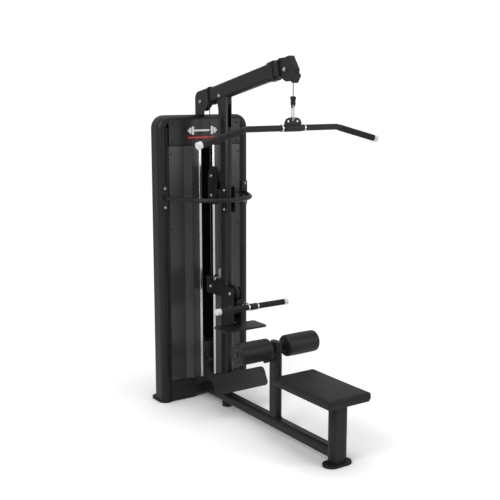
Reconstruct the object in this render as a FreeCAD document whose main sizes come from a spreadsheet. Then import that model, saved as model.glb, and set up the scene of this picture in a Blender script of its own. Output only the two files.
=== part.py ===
"""Lat pulldown and low row machine: a pin-loaded weight tower with a mast, a boom, a seat and two pull stations.

Millimetres.  +X is across the machine, +Y runs from the seat towards the weight tower, +Z is up.
The frame's origin is on the floor under the middle of the machine's bounding box.  Depths in the
sheet and in this file are measured from the tower's centre plane, and every sub-part is placed
tower_depth further back, which puts the origin there.
"""
import FreeCAD, Part
import math
import os
import Sketcher
from FreeCAD import Placement, Rotation, Vector

DIMENSIONS = {
    "tower_depth": 712.25,     # tower centre plane behind the origin
    # weight tower
    "tower_half": 332.0,
    "tower_top": 1854.0,
    "tube_across": 67.0,
    "tube_deep": 124.0,
    "tube_wall": 3.5,
    "tower_bend": 46.5,
    "foot_thick": 14.0,
    "panel_half": 262.0,
    "panel_thick": 4.0,
    "kick_inner": 84.0,
    "kick_low": 8.0,
    "kick_high": 139.0,
    "shield_low": 143.0,
    "shield_high": 1664.0,
    "shield_flat": 155.0,
    "shield_raised": 107.0,
    "shield_rise": 18.0,
    "slot_half": 41.7,
    "trim_outer": 57.5,
    "plate_low": 1670.0,
    "plate_high": 1825.0,
    "screw_across": 238.0,
    # weight stack
    "stack_depth": -16.0,
    "stack_floor": 78.3,
    "stack_half": 140.0,
    "stack_deep": 70.0,
    "stack_pitch": 24.0,
    "stack_plate": 23.4,
    "rod_across": 110.0,
    "rod_top": 1640.0,
    "guide_radius": 9.5,
    "selector_radius": 10.0,
    "selector_top": 400.0,
    "pin_radius": 4.6,
    # mast, boom and cable path
    "mast_across": 50.0,
    "mast_deep": 90.0,
    "mast_depth": -314.0,
    "mast_wall": 4.0,
    "beam_high": 94.0,
    "beam_low": 31.0,
    "beam_half": 35.5,
    "boom_across": 54.0,
    "boom_high": 95.0,
    "boom_corner": 15.0,
    "boom_tilt": 11.9,
    "boom_rear": -160.0,
    "boom_rear_high": 1975.2,
    "boom_long": 654.0,
    "plate_thick": 6.0,
    "axle_radius": 8.0,
    "run_gap": 0.05,
    "cable_radius": 3.0,
    "wrap_radius": 54.0,
    "rim_radius": 59.0,
    "guide_wrap": 46.0,
    "guide_rim": 45.5,
    "front_axle": -948.0,
    "front_axle_high": 2123.0,
    "mid_axle": -286.0,
    "mid_axle_high": 1975.0,
    "rear_axle": -70.0,
    "rear_axle_high": 1936.0,
    "block_axle": -178.0,
    "block_upper_high": 1478.0,
    "block_lower_high": 1355.0,
    "row_high": 716.0,
    "row_axle": -407.0,
    "anchor_depth": -232.0,
    "anchor_high": 827.0,
    "anchor_top": 890.0,
    # hoop rail
    "hoop_half": 290.0,
    "hoop_bend": 60.0,
    "hoop_bend_depth": -78.0,
    "hoop_radius": 238.0,
    "hoop_depth": -151.0,
    "hoop_high": 1344.0,
    "hoop_tube": 13.5,
    "hoop_bolts": 59.0,
    # seat and hold-down
    "leg_depth": -1432.0,
    "leg_across": 114.0,
    "leg_deep": 60.0,
    "leg_top": 353.0,
    "pad_half": 144.0,
    "pad_rear": -1023.0,
    "pad_front": -1537.0,
    "pad_top": 412.0,
    "pad_thick": 50.0,
    "post_depth": -851.0,
    "post_top": 476.0,
    "popper_high": 445.0,
    "popper_radius": 3.5,
    "roller_high": 520.0,
    "roller_radius": 64.0,
    "roller_inner": 58.0,
    "roller_outer": 280.0,
    "cross_radius": 12.0,
    # handles
    "bar_depth": -1002.0,
    "bar_high": 1806.0,
    "bar_radius": 17.0,
    "bar_straight": 308.0,
    "bar_reach": 611.0,
    "bar_drop": 78.0,
    "grip_radius": 17.8,
    "cap_radius": 19.0,
    "cap_long": 26.0,
    "row_depth": -608.0,
    "row_half": 257.0,
    "link_long": 56.0,
    "link_bend": 9.0,
    "link_wire": 4.0,
}
STACK_PLATES = 12          # head plate included
RESTING_PLATES = 7
ADJUST_HOLES = 5
ADJUST_PITCH = 25.0

doc = FreeCAD.newDocument("lat_pulldown")
sheet = doc.addObject("Spreadsheet::Sheet", "Dims")
for row, (alias, number) in enumerate(DIMENSIONS.items(), start=1):
    sheet.set(f"A{row}", alias)
    sheet.set(f"B{row}", str(number))
    sheet.setAlias(f"B{row}", alias)
doc.recompute()


# ---------------------------------------------------------------- sizes bound to the sheet
class Size:
    """A number together with the spreadsheet expression that gives it."""

    def __init__(self, value, text):
        self.value = float(value)
        self.text = text

    def __add__(self, other):
        other = as_size(other)
        return Size(self.value + other.value, f"({self.text} + {other.text})")

    def __sub__(self, other):
        other = as_size(other)
        return Size(self.value - other.value, f"({self.text} - {other.text})")

    def __mul__(self, factor):
        return Size(self.value * factor, f"({self.text} * ({factor!r}))")

    def __truediv__(self, divisor):
        return Size(self.value / divisor, f"({self.text} / {divisor!r})")

    def __neg__(self):
        return self * -1.0

    def __radd__(self, other):
        return as_size(other) + self

    def __rsub__(self, other):
        return as_size(other) - self


def as_size(number):
    """Take a Size as it is, and give a plain number its own text."""
    return number if isinstance(number, Size) else Size(number, f"({float(number)!r})")


class Dims:
    """Read a cell of the sheet by its alias: D.tower_half."""

    def __getattr__(self, alias):
        return Size(sheet.get(alias), f"Dims.{alias}")


D = Dims()


def bind(thing, **sizes):
    """Bind properties to sizes; a double underscore stands for a dot."""
    for path, amount in sizes.items():
        thing.setExpression(path.replace("__", "."), as_size(amount).text)


# ---------------------------------------------------------------- sketch outlines
AXIS_X, AXIS_Y = -1, -2


def pin_point(sketch, curve, point, x, y):
    """Fix a sketch point by its two distances from the origin."""
    for kind, axis, amount in (("DistanceX", AXIS_Y, as_size(x)), ("DistanceY", AXIS_X, as_size(y))):
        if amount.value == 0.0:
            sketch.addConstraint(Sketcher.Constraint("PointOnObject", curve, point, axis))
        else:
            index = sketch.addConstraint(Sketcher.Constraint(kind, -1, 1, curve, point, amount.value))
            sketch.setExpression(f"Constraints[{index}]", amount.text)


def fix_radius(sketch, curve, radius):
    index = sketch.addConstraint(Sketcher.Constraint("Radius", curve, radius.value))
    sketch.setExpression(f"Constraints[{index}]", radius.text)


def arc(x, y, radius, start, end):
    """A Part arc about a centre, from one angle in degrees to another."""
    ring = Part.Circle(Vector(x, y, 0), Vector(0, 0, 1), radius)
    return Part.ArcOfCircle(ring, math.radians(start), math.radians(end))


def circle(x, y, radius):
    """Outline of a round hole or bar."""
    x, y, radius = as_size(x), as_size(y), as_size(radius)

    def draw(sketch):
        ring = Part.Circle(Vector(x.value, y.value, 0), Vector(0, 0, 1), radius.value)
        curve = sketch.addGeometry(ring)
        pin_point(sketch, curve, 3, x, y)
        fix_radius(sketch, curve, radius)
    return draw


def polygon(*corners):
    """Outline through straight-sided corners."""
    corners = [(as_size(x), as_size(y)) for x, y in corners]

    def draw(sketch):
        places = [Vector(x.value, y.value, 0) for x, y in corners]
        count = len(places)
        sides = [sketch.addGeometry(Part.LineSegment(places[i], places[(i + 1) % count])) for i in range(count)]
        for i, side in enumerate(sides):
            following = sides[(i + 1) % count]
            sketch.addConstraint(Sketcher.Constraint("Coincident", side, 2, following, 1))
        for side, (x, y) in zip(sides, corners):
            pin_point(sketch, side, 1, x, y)
    return draw


def rounded(x, y, across, high, radius):
    """Rectangle about a centre, with round corners; a radius of half its width makes a flat oval."""
    x, y, across, high, radius = (as_size(amount) for amount in (x, y, across, high, radius))
    half_x, half_y = across / 2 - radius, high / 2 - radius

    def draw(sketch):
        signs = ((1, 1), (-1, 1), (-1, -1), (1, -1))
        arcs = []
        for quarter, (sx, sy) in enumerate(signs):
            cx, cy = x.value + sx * half_x.value, y.value + sy * half_y.value
            arcs.append(sketch.addGeometry(arc(cx, cy, radius.value, 90 * quarter, 90 * quarter + 90)))
        for quarter, kind in enumerate(("Horizontal", "Vertical", "Horizontal", "Vertical")):
            one, other = arcs[quarter], arcs[(quarter + 1) % 4]
            start, end = sketch.getPoint(one, 2), sketch.getPoint(other, 1)
            if start.distanceToPoint(end) < 1e-6:
                sketch.addConstraint(Sketcher.Constraint("Tangent", one, 2, other, 1))
                continue
            side = sketch.addGeometry(Part.LineSegment(start, end))
            sketch.addConstraint(Sketcher.Constraint("Tangent", one, 2, side, 1))
            sketch.addConstraint(Sketcher.Constraint("Tangent", side, 2, other, 1))
        for quarter, (sx, sy) in enumerate(signs):
            pin_point(sketch, arcs[quarter], 3, x + half_x * sx, y + half_y * sy)
        fix_radius(sketch, arcs[0], radius)
    return draw


def oval(x, y, across, high):
    """Flat oval about a centre, its ends half circles on the shorter side."""
    across, high = as_size(across), as_size(high)
    narrow = across if across.value < high.value else high
    x, y = as_size(x), as_size(y)
    reach = (high - narrow) / 2 if high.value > across.value else (across - narrow) / 2
    tall = high.value > across.value

    def draw(sketch):
        step = Vector(0, reach.value, 0) if tall else Vector(reach.value, 0, 0)
        middle = Vector(x.value, y.value, 0)
        turn = 0 if tall else -90
        near, far = middle - step, middle + step
        half = narrow.value / 2
        one = sketch.addGeometry(arc(far.x, far.y, half, turn, turn + 180))
        two = sketch.addGeometry(arc(near.x, near.y, half, turn + 180, turn + 360))
        for first, second in ((one, two), (two, one)):
            side = sketch.addGeometry(Part.LineSegment(sketch.getPoint(first, 2), sketch.getPoint(second, 1)))
            sketch.addConstraint(Sketcher.Constraint("Tangent", first, 2, side, 1))
            sketch.addConstraint(Sketcher.Constraint("Tangent", side, 2, second, 1))
        sketch.addConstraint(Sketcher.Constraint("Equal", one, two))
        fix_radius(sketch, one, narrow / 2)
        offset = (as_size(0), reach) if tall else (reach, as_size(0))
        pin_point(sketch, one, 3, x + offset[0], y + offset[1])
        pin_point(sketch, two, 3, x - offset[0], y - offset[1])
    return draw


def path(*steps):
    """Open route of straight runs and arcs: ("to", x, y) or ("arc", centre x, centre y, start, end)."""

    def draw(sketch):
        here = None
        for step in steps:
            if step[0] == "to":
                there = Vector(as_size(step[1]).value, as_size(step[2]).value, 0)
                if here is not None:
                    curve = sketch.addGeometry(Part.LineSegment(here, there))
                    pin_point(sketch, curve, 1, here.x, here.y)
                    pin_point(sketch, curve, 2, step[1], step[2])
                here = there
            else:
                x, y, radius, start, end = step[1:]
                clockwise = end < start
                centre_x, centre_y, reach = (as_size(amount).value for amount in (x, y, radius))
                bend = arc(centre_x, centre_y, reach, min(start, end), max(start, end))
                sketch.addGeometry(bend)
                here = bend.StartPoint if clockwise else bend.EndPoint
    return draw


# ---------------------------------------------------------------- solids
PLANES = {
    "XY": Rotation(),
    "XZ": Rotation(Vector(1, 0, 0), 90),
    "YZ": Rotation(Vector(1, 1, 1), 120),
}
NORMALS = {"XY": ("z", 1.0), "XZ": ("y", -1.0), "YZ": ("x", 1.0)}


def unique(stem):
    """A free object name for a helper solid."""
    return f"{stem}_{len(doc.Objects)}"


def extrusion(plane, start, length, *outlines):
    """Extrude outlines drawn on a plane from an offset along its normal."""
    sketch = doc.addObject("Sketcher::SketchObject", unique("outline"))
    sketch.Placement = Placement(Vector(), PLANES[plane])
    axis, sign = NORMALS[plane]
    sketch.setExpression(f"Placement.Base.{axis}", (as_size(start) * sign).text)
    for outline in outlines:
        outline(sketch)
    solid = doc.addObject("Part::Extrusion", unique("extrusion"))
    solid.Base = sketch
    solid.DirMode = "Normal"
    solid.Solid = True
    bind(solid, LengthFwd=length)
    return solid


def mirrored_plates(inner, thickness, *outlines):
    """Two equal side plates, one each side of the centre plane."""
    right = extrusion("YZ", inner, thickness, *outlines)
    left = extrusion("YZ", -as_size(inner) - thickness, thickness, *outlines)
    return [right, left]


def block(x, y, z):
    """A box from low and high sizes along each axis."""
    solid = doc.addObject("Part::Box", unique("box"))
    (x0, x1), (y0, y1), (z0, z1) = ((as_size(lo), as_size(hi)) for lo, hi in (x, y, z))
    bind(solid, Length=x1 - x0, Width=y1 - y0, Height=z1 - z0)
    bind(solid, Placement__Base__x=x0, Placement__Base__y=y0, Placement__Base__z=z0)
    return solid


TURNS = {"X": Rotation(Vector(0, 1, 0), 90), "Y": Rotation(Vector(1, 0, 0), -90), "Z": Rotation()}


def rod(axis, radius, start, length):
    """A cylinder along a row axis from its start point."""
    solid = doc.addObject("Part::Cylinder", unique("rod"))
    solid.Placement = Placement(Vector(), TURNS[axis])
    bind(solid, Radius=radius, Height=length)
    bind(solid, Placement__Base__x=start[0], Placement__Base__y=start[1], Placement__Base__z=start[2])
    return solid


def fuse(*solids):
    result = doc.addObject("Part::MultiFuse", unique("fuse"))
    result.Shapes = list(solids)
    return result


def cut(solid, *tools):
    """Take each tool away from a solid in turn."""
    for tool in tools:
        result = doc.addObject("Part::Cut", unique("cut"))
        result.Base = solid
        result.Tool = tool
        solid = result
    return solid


NODES = []


def node(label, *solids):
    """Gather solids into one named sub-part, placed in the machine's frame."""
    group = doc.addObject("Part::Compound", label)
    group.Links = list(solids)
    group.Label = label
    bind(group, Placement__Base__y=D.tower_depth)
    NODES.append(group)
    return group


# ---------------------------------------------------------------- PartDesign bodies
def new_body(label):
    """A body that is a sub-part of its own."""
    body = doc.addObject("PartDesign::Body", label)
    body.Label = label
    bind(body, Placement__Base__y=D.tower_depth)
    NODES.append(body)
    return body


def helper_body(stem):
    """A body that is gathered into a sub-part with others."""
    return doc.addObject("PartDesign::Body", unique(stem))


def sketch_in(body, plane, *outlines, offset=0):
    """A sketch on one of the body's origin planes, moved along the plane's normal."""
    sketch = body.newObject("Sketcher::SketchObject", unique("sketch"))
    role = f"{plane}_Plane"
    sketch.AttachmentSupport = [(next(item for item in body.Origin.OriginFeatures if item.Role == role), "")]
    sketch.MapMode = "FlatFace"
    sketch.setExpression("AttachmentOffset.Base.z", as_size(offset).text)
    for outline in outlines:
        outline(sketch)
    return sketch


def pad(body, sketch, length, middle=False):
    feature = body.newObject("PartDesign::Pad", unique("pad"))
    feature.Profile = sketch
    bind(feature, Length=length)
    feature.SideType = "Symmetric" if middle else "One side"
    return feature


def pocket(body, sketch, length):
    """Cut against the sketch's normal."""
    feature = body.newObject("PartDesign::Pocket", unique("pocket"))
    feature.Profile = sketch
    bind(feature, Length=length)
    return feature


def revolve(body, sketch, axis):
    """A full turn of a profile about one of the body's origin axes."""
    feature = body.newObject("PartDesign::Revolution", unique("revolution"))
    feature.Profile = sketch
    role = f"{axis}_Axis"
    feature.ReferenceAxis = (next(item for item in body.Origin.OriginFeatures if item.Role == role), [""])
    feature.Angle = 360.0
    return feature


def pipe(body, profile, spine):
    feature = body.newObject("PartDesign::AdditivePipe", unique("pipe"))
    feature.Profile = profile
    feature.Spine = (spine, [])
    feature.Transition = "Transformed"
    return feature


def soften(body, base, radius, wanted):
    """Fillet the edges of a feature that a test picks out."""
    doc.recompute()
    edges = [f"Edge{i}" for i, edge in enumerate(base.Shape.Edges, start=1) if wanted(edge)]
    feature = body.newObject("PartDesign::Fillet", unique("fillet"))
    feature.Base = (base, edges)
    bind(feature, Radius=radius)
    return feature


# ---------------------------------------------------------------- weight tower
CABLE_HOLE = 9.0
UPRIGHT = D.tower_half - D.tube_across / 2
TUBE_FACE = D.tube_deep / 2
PLATE_BORE = D.axle_radius + D.run_gap
CHEEK_GAP = 0.2            # between a bolted plate and what it bears on


def build_tower_frame():
    """Inverted U of flat-oval tube, with a hole in its top for the stack cable."""
    body = new_body("tower_frame")
    wall = D.tube_wall * 2
    profile = sketch_in(
        body, "XY",
        oval(-UPRIGHT, 0, D.tube_across, D.tube_deep),
        oval(-UPRIGHT, 0, D.tube_across - wall, D.tube_deep - wall),
        offset=D.foot_thick,
    )
    axis_top = D.tower_top - D.tube_across / 2
    turn = UPRIGHT - D.tower_bend
    spine = sketch_in(body, "XZ", path(
        ("to", -UPRIGHT, D.foot_thick),
        ("to", -UPRIGHT, axis_top - D.tower_bend),
        ("arc", -turn, axis_top - D.tower_bend, D.tower_bend, 180, 90),
        ("to", turn, axis_top),
        ("arc", turn, axis_top - D.tower_bend, D.tower_bend, 90, 0),
        ("to", UPRIGHT, D.foot_thick),
    ))
    pipe(body, profile, spine)
    hole = sketch_in(body, "XY", circle(0, D.stack_depth, CABLE_HOLE), offset=D.tower_top + 1)
    pocket(body, hole, D.tube_across + 2)


CROSS_REAR = 14.0
CROSS_LOW = 20.0
CROSS_THICK = 30.0
LOWER_FRONT = -52.0
UPPER_FRONT = -30.0
KICK_DEPTH = 56.0
KICK_CORNER = 6.0
NAME_CORNER = 10.0
COVER_LOW = 20.0
COVER_DEPTH = 60.0
COVER_CORNER = 30.0
PANEL_GAP = 0.3


def build_tower_fittings():
    """Beams between the uprights, kick panels, back cover and name plate."""
    inner = D.tower_half - D.tube_across
    lower = block((-inner, inner), (LOWER_FRONT, CROSS_REAR), (CROSS_LOW, D.stack_floor - PANEL_GAP))
    upper = block((-inner, inner), (UPPER_FRONT, CROSS_REAR), (D.rod_top, D.rod_top + CROSS_THICK))
    passage = rod("Z", CABLE_HOLE, (0, D.stack_depth, D.rod_top - 1), CROSS_THICK + 2)
    node("tower_crossmembers", lower, cut(upper, passage))

    middle = (D.panel_half + D.kick_inner) / 2
    width = D.panel_half - D.kick_inner
    height = D.kick_high - D.kick_low
    rise = (D.kick_high + D.kick_low) / 2
    node("kick_panels", extrusion(
        "XZ", KICK_DEPTH, D.panel_thick,
        rounded(middle, rise, width, height, KICK_CORNER),
        rounded(-middle, rise, width, height, KICK_CORNER),
    ))

    cover_top = D.tower_top - D.tube_across + 13
    node("rear_cover", extrusion(
        "XZ", -COVER_DEPTH, D.panel_thick,
        rounded(0, (cover_top + COVER_LOW) / 2, D.panel_half * 2, cover_top - COVER_LOW, COVER_CORNER),
    ))
    node("name_plate", extrusion(
        "XZ", TUBE_FACE + PANEL_GAP, D.panel_thick,
        rounded(0, (D.plate_low + D.plate_high) / 2, D.panel_half * 2, D.plate_high - D.plate_low, NAME_CORNER),
    ))


SHIELD_FOLD = 26.0         # sheet turned back at each shield's outer edge
TRIM_GAP = 0.5
BEND_SHIFT = 1.0           # offset of a bend on the sheet's inner side


def build_shield(label, side):
    """One front shield: folded back at its outer edge, bent forward beside the slot."""
    face = -TUBE_FACE
    inside = face + D.panel_thick
    front = face - D.shield_rise
    back = front + D.panel_thick
    body = new_body(label)
    outline = polygon(
        (D.panel_half * side, face),
        (D.shield_flat * side, face),
        (D.shield_raised * side, front),
        ((D.trim_outer + TRIM_GAP) * side, front),
        ((D.trim_outer + TRIM_GAP) * side, back),
        ((D.shield_raised + BEND_SHIFT) * side, back),
        ((D.shield_flat + BEND_SHIFT) * side, inside),
        ((D.panel_half - D.panel_thick) * side, inside),
        ((D.panel_half - D.panel_thick) * side, inside + SHIELD_FOLD),
        (D.panel_half * side, inside + SHIELD_FOLD),
    )
    pad(body, sketch_in(body, "XY", outline, offset=D.shield_low), D.shield_high - D.shield_low)


TRIM_DEPTH = -81.0
TRIM_DEEP = 7.0
TRIM_CORNER = 2.0


def build_slot_trims():
    """Bright edge profiles each side of the selector slot."""
    middle = (D.slot_half + D.trim_outer) / 2
    wide = D.trim_outer - D.slot_half
    outlines = [rounded(middle * side, TRIM_DEPTH, wide, TRIM_DEEP, TRIM_CORNER) for side in (1, -1)]
    node("slot_trims", extrusion("XY", D.shield_low, D.shield_high - D.shield_low, *outlines))


# ---------------------------------------------------------------- weight stack
ROD_PLAY = 1.5             # round each rod in its plates
PIN_PLAY = 0.4
STACK_CORNER = 6.0
PIN_SHOULDER = -91.0
PIN_END = -116.5
PIN_GRIP = 13.0
PIN_NECK = 9.0
GRIP_CHAMFER = 5.0


def stack_outline():
    """Plan of a weight plate with its two guide rod holes."""
    hole = D.guide_radius + ROD_PLAY
    return (
        rounded(0, D.stack_depth, D.stack_half * 2, D.stack_deep, STACK_CORNER),
        circle(D.rod_across, D.stack_depth, hole),
        circle(-D.rod_across, D.stack_depth, hole),
    )


def stack_plate(index):
    """One weight plate with its rod holes and its pin hole."""
    low = D.stack_floor + D.stack_pitch * index
    bore = circle(0, D.stack_depth, D.selector_radius + ROD_PLAY)
    plain = extrusion("XY", low, D.stack_plate, *stack_outline(), bore)
    place = (0, D.stack_depth - D.stack_deep, low + D.stack_plate / 2)
    hole = rod("Y", D.pin_radius + PIN_PLAY, place, D.stack_deep)
    return cut(plain, hole)


def build_stack():
    """Resting plates, lifted plates, head plate with its selector rod, guide rods and pin."""
    node("guide_rods", *[
        rod("Z", D.guide_radius, (D.rod_across * side, D.stack_depth, D.stack_floor), D.rod_top - D.stack_floor)
        for side in (1, -1)
    ])
    node("resting_plates", *[stack_plate(index) for index in range(RESTING_PLATES)])
    node("lifted_plates", *[stack_plate(index) for index in range(RESTING_PLATES, STACK_PLATES - 1)])

    low = D.stack_floor + D.stack_pitch * (STACK_PLATES - 1)
    head = extrusion("XY", low, D.stack_plate, *stack_outline())
    rod_low = D.stack_floor + 6
    selector = rod("Z", D.selector_radius, (0, D.stack_depth, rod_low), D.selector_top - rod_low)
    collar = rod("Z", 15, (0, D.stack_depth, low), D.stack_plate + 20)
    pin_high = D.stack_floor + D.stack_pitch * RESTING_PLATES + D.stack_plate / 2
    hole = rod("Y", D.pin_radius + PIN_PLAY, (0, D.stack_depth - 30, pin_high), 60)
    node("stack_head", cut(fuse(head, selector, collar), hole))

    body = new_body("selector_pin")
    bind(body, Placement__Base__z=pin_high)
    outline = polygon(
        (0, D.stack_depth + 8),
        (D.pin_radius, D.stack_depth + 8),
        (D.pin_radius, PIN_SHOULDER),
        (PIN_NECK, PIN_SHOULDER),
        (PIN_GRIP, PIN_SHOULDER - GRIP_CHAMFER),
        (PIN_GRIP, PIN_END + GRIP_CHAMFER),
        (PIN_NECK, PIN_END),
        (0, PIN_END),
    )
    revolve(body, sketch_in(body, "XY", outline), "Y")


# ---------------------------------------------------------------- mast, boom and base
BOOM_TURN = Rotation(Vector(1, 0, 0), 90.0 - DIMENSIONS["boom_tilt"])
UP_BOOM = math.sin(math.radians(DIMENSIONS["boom_tilt"]))
ALONG_BOOM = math.cos(math.radians(DIMENSIONS["boom_tilt"]))


def along_boom(start, length, *outlines):
    """Extrude outlines along the boom, from a distance up from its rear end."""
    solid = extrusion("XY", 0, length, *outlines)
    sketch = solid.Base
    sketch.Placement = Placement(Vector(), BOOM_TURN)
    bind(
        sketch,
        Placement__Base__y=D.boom_rear - as_size(start) * ALONG_BOOM,
        Placement__Base__z=D.boom_rear_high + as_size(start) * UP_BOOM,
    )
    return solid


def boom_section(grow):
    """The boom's outline, larger or smaller all round."""
    return rounded(0, 0, D.boom_across + 2 * grow, D.boom_high + 2 * grow, D.boom_corner + grow)


def oval_tube(low, high, depth, across, deep):
    """Flat-oval post of the mast's wall on the centre plane."""
    wall = D.mast_wall * 2
    outer = oval(0, depth, across, deep)
    return extrusion("XY", low, high - low, outer, oval(0, depth, across - wall, deep - wall))


MAST_TOP = as_size(1990)
GUSSET_INNER = 15.0
GUSSET_THICK = 5.0


def build_mast():
    """Upright flat-oval tube with pulley slots, saddle-cut under the boom."""
    tube = oval_tube(D.beam_high, MAST_TOP, D.mast_depth, D.mast_across, D.mast_deep)
    front_slot = block((-11, 11), (-370, -330), (1788, 1925))
    rear_slot = block((-14, 14), (-290, -260), (1900, 2000))
    cable_slot = block((-12, 12), (-370, -260), (D.row_high - 24, D.row_high + 24))
    rear = D.mast_depth + D.mast_deep / 2
    gussets = mirrored_plates(GUSSET_INNER, GUSSET_THICK, polygon(
        (rear - 8, 1846), (rear + 3, 1852), (rear + 9, 1880), (rear + 18, 1915), (rear + 34, 1960), (rear - 8, 1960),
    ))
    whole = fuse(tube, *gussets)
    node("mast", cut(whole, along_boom(0, D.boom_long, boom_section(0)), front_slot, rear_slot, cable_slot))


BOOM_WALL = 4.0


def build_boom():
    """Rising tube with an underside slot and a cross hole for the middle pulley."""
    tube = along_boom(0, D.boom_long, boom_section(0), boom_section(-BOOM_WALL))
    pulley_slot = block((-14, 14), (D.mid_axle - 64, D.mid_axle + 68), (1890, D.mid_axle_high))
    bolt_hole = rod("X", PLATE_BORE, (-40, D.mid_axle, D.mid_axle_high), 80)
    node("boom", cut(tube, pulley_slot, bolt_hole))


def elbow(inset, drop):
    """Side outline of the boom's rear elbow: up from the tower top and round into the boom's top line."""
    bend = 50 - inset
    rear = as_size(0 - inset)
    centre_y, centre_z = -50, 1951
    seam = 8 / ALONG_BOOM
    half = D.boom_high.value / 2 - inset
    top = (D.boom_rear.value + seam + half * UP_BOOM, D.boom_rear_high.value + half * ALONG_BOOM - seam * UP_BOOM)
    low = (D.boom_rear.value + seam - half * UP_BOOM, D.boom_rear_high.value - half * ALONG_BOOM - seam * UP_BOOM)
    lean = DIMENSIONS["boom_tilt"]

    def draw(sketch):
        path(
            ("to", rear, D.tower_top - drop),
            ("to", rear, centre_z),
            ("arc", centre_y, centre_z, bend, 0, 90 - lean),
            ("to", top[0], top[1]),
            ("to", low[0], low[1] - drop),
            ("to", -102, D.tower_top + 16 - drop),
            ("to", -102, D.tower_top - drop),
            ("to", rear, D.tower_top - drop),
        )(sketch)
    return draw


def build_rear_bracket():
    """Elbow on the tower top with two cheeks and a top cover, and the flange that it shares with the boom."""
    half = D.boom_across / 2 + 6.2
    inner = D.boom_across / 2 + 0.2
    shell = extrusion("YZ", -half, half * 2, elbow(0, 0))
    hollow = extrusion("YZ", -inner, inner * 2, elbow(6, 30))
    bore = rod("X", PLATE_BORE, (-half - 1, D.rear_axle, D.rear_axle_high), half * 2 + 2)
    access = extrusion("YZ", inner - 1, half - inner + 2, polygon(
        (-176, 1969), (-157, 1955), (-96, 1908), (-56, 1879), (-6, 1879), (-6, D.tower_top - 1), (-176, D.tower_top - 1),
    ))
    flange = along_boom(-7.7, 7.5, boom_section(9), boom_section(-BOOM_WALL))
    node("rear_bracket", cut(shell, hollow, bore, access), flange)


HEAD_CHEEK = 12.2          # inner face of the head's cheeks, from the centre plane
HEAD_PLATE = 5.0
HEAD_DEPTH = -967.0
HEAD_RADIUS = 66.0


def head_bevel(reach):
    """The corner that the head's sloping front takes off its round outline, moved out by a reach."""
    return polygon(
        (-977.3 - reach, 2206), (-977.3 - reach, 2200), (-1045 - reach, 2103.3), (-1090, 2103.3), (-1090, 2206),
    )


def build_head_housing():
    """Collar on the boom's front end, with two cheeks for the front pulley."""
    collar = along_boom(D.boom_long - 2, 52, boom_section(8), boom_section(0.05))
    sleeve = cut(
        along_boom(D.boom_long + 50.1, 46, boom_section(3), boom_section(-3)),
        block((-10.5, 10.5), (-940, -885), (2040, 2165)),
    )
    end = cut(
        along_boom(D.boom_long + 96.1, 4, boom_section(3)),
        block((-10.5, 10.5), (-940, -860), (2055, 2176)),
    )
    cheeks = []
    for start in (as_size(HEAD_CHEEK), as_size(-HEAD_CHEEK - HEAD_PLATE)):
        disc = extrusion("YZ", start, HEAD_PLATE, circle(HEAD_DEPTH, D.front_axle_high, HEAD_RADIUS))
        arm = extrusion("YZ", start, HEAD_PLATE, polygon(
            (-880, 2121), (-880, 2184), (-952, 2188), (HEAD_DEPTH, 2188.5), (-925, 2110),
        ))
        bevel = extrusion("YZ", start - 1, HEAD_PLATE + 2, head_bevel(0))
        hole = rod("X", PLATE_BORE, (start - 1, D.front_axle, D.front_axle_high), HEAD_PLATE + 2)
        cheeks.append(cut(fuse(disc, arm), bevel, hole, along_boom(D.boom_long - 60, 160.1, boom_section(9))))
    node("head_housing", collar, sleeve, end, *cheeks)


def build_head_guard():
    """Cover strip over the top and front of the head, and the outlet plate that guides the cable."""
    half = HEAD_CHEEK + HEAD_PLATE
    strip = cut(
        rod("X", HEAD_RADIUS + 4.3, (-half, HEAD_DEPTH, D.front_axle_high), half * 2),
        rod("X", HEAD_RADIUS + 0.3, (-half - 1, HEAD_DEPTH, D.front_axle_high), half * 2 + 2),
        block((-half - 1, half + 1), (-955, -880), (2040, 2210)),
        block((-half - 1, half + 1), (-1040, -880), (2040, 2098)),
        extrusion("YZ", -half - 1, half * 2 + 2, head_bevel(0.3)),
    )
    slope = extrusion("YZ", -half, half * 2, polygon(
        (-974, 2189.3), (-974, 2193.3), (-983.5, 2196.5), (-985.7, 2195.9),
        (-1038.7, 2121.1), (-1035, 2118.8), (-982.3, 2193.3),
    ))
    outlet = extrusion("YZ", -half - 2, half * 2 + 4, polygon(
        (-1029.5, 2099), (-1040, 2100), (-1048, 2088), (-1020, 2049), (-1008, 2056), (-1022, 2077),
    ))
    node("head_guard", fuse(strip, slope), outlet)


BEAM_CORNER = 19.0
BEAM_WALL = 4.0


def build_base():
    """Floor beam, front leg and the rubber feet."""
    leg_rear = D.leg_depth + D.leg_deep / 2
    rise = (D.beam_high + D.beam_low) / 2
    high = D.beam_high - D.beam_low
    wall = BEAM_WALL * 2
    node("base_beam", extrusion(
        "XZ", -LOWER_FRONT, LOWER_FRONT - leg_rear,
        rounded(0, rise, D.beam_half * 2, high, BEAM_CORNER),
        rounded(0, rise, D.beam_half * 2 - wall, high - wall, BEAM_CORNER - BEAM_WALL),
    ))
    node("front_leg", oval_tube(D.foot_thick, D.leg_top, D.leg_depth, D.leg_across, D.leg_deep))
    flat_feet = extrusion(
        "XY", 0, D.foot_thick,
        oval(UPRIGHT - 9, 24, 96, 177),
        oval(-UPRIGHT + 9, 24, 96, 177),
        oval(0, D.leg_depth, 178, 98),
    )
    middle_foot = rod("Z", 32, (0, D.mast_depth, 0), D.beam_low)
    node("rubber_feet", flat_feet, middle_foot)


# ---------------------------------------------------------------- foot plate, shelf and low pulleys
TREAD_RISE = 60.0
TREAD_RUN = 108.0
TREAD_WIDE = 388.0
TREAD_DEEP = 124.0
TREAD_CORNER = 26.0


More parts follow.
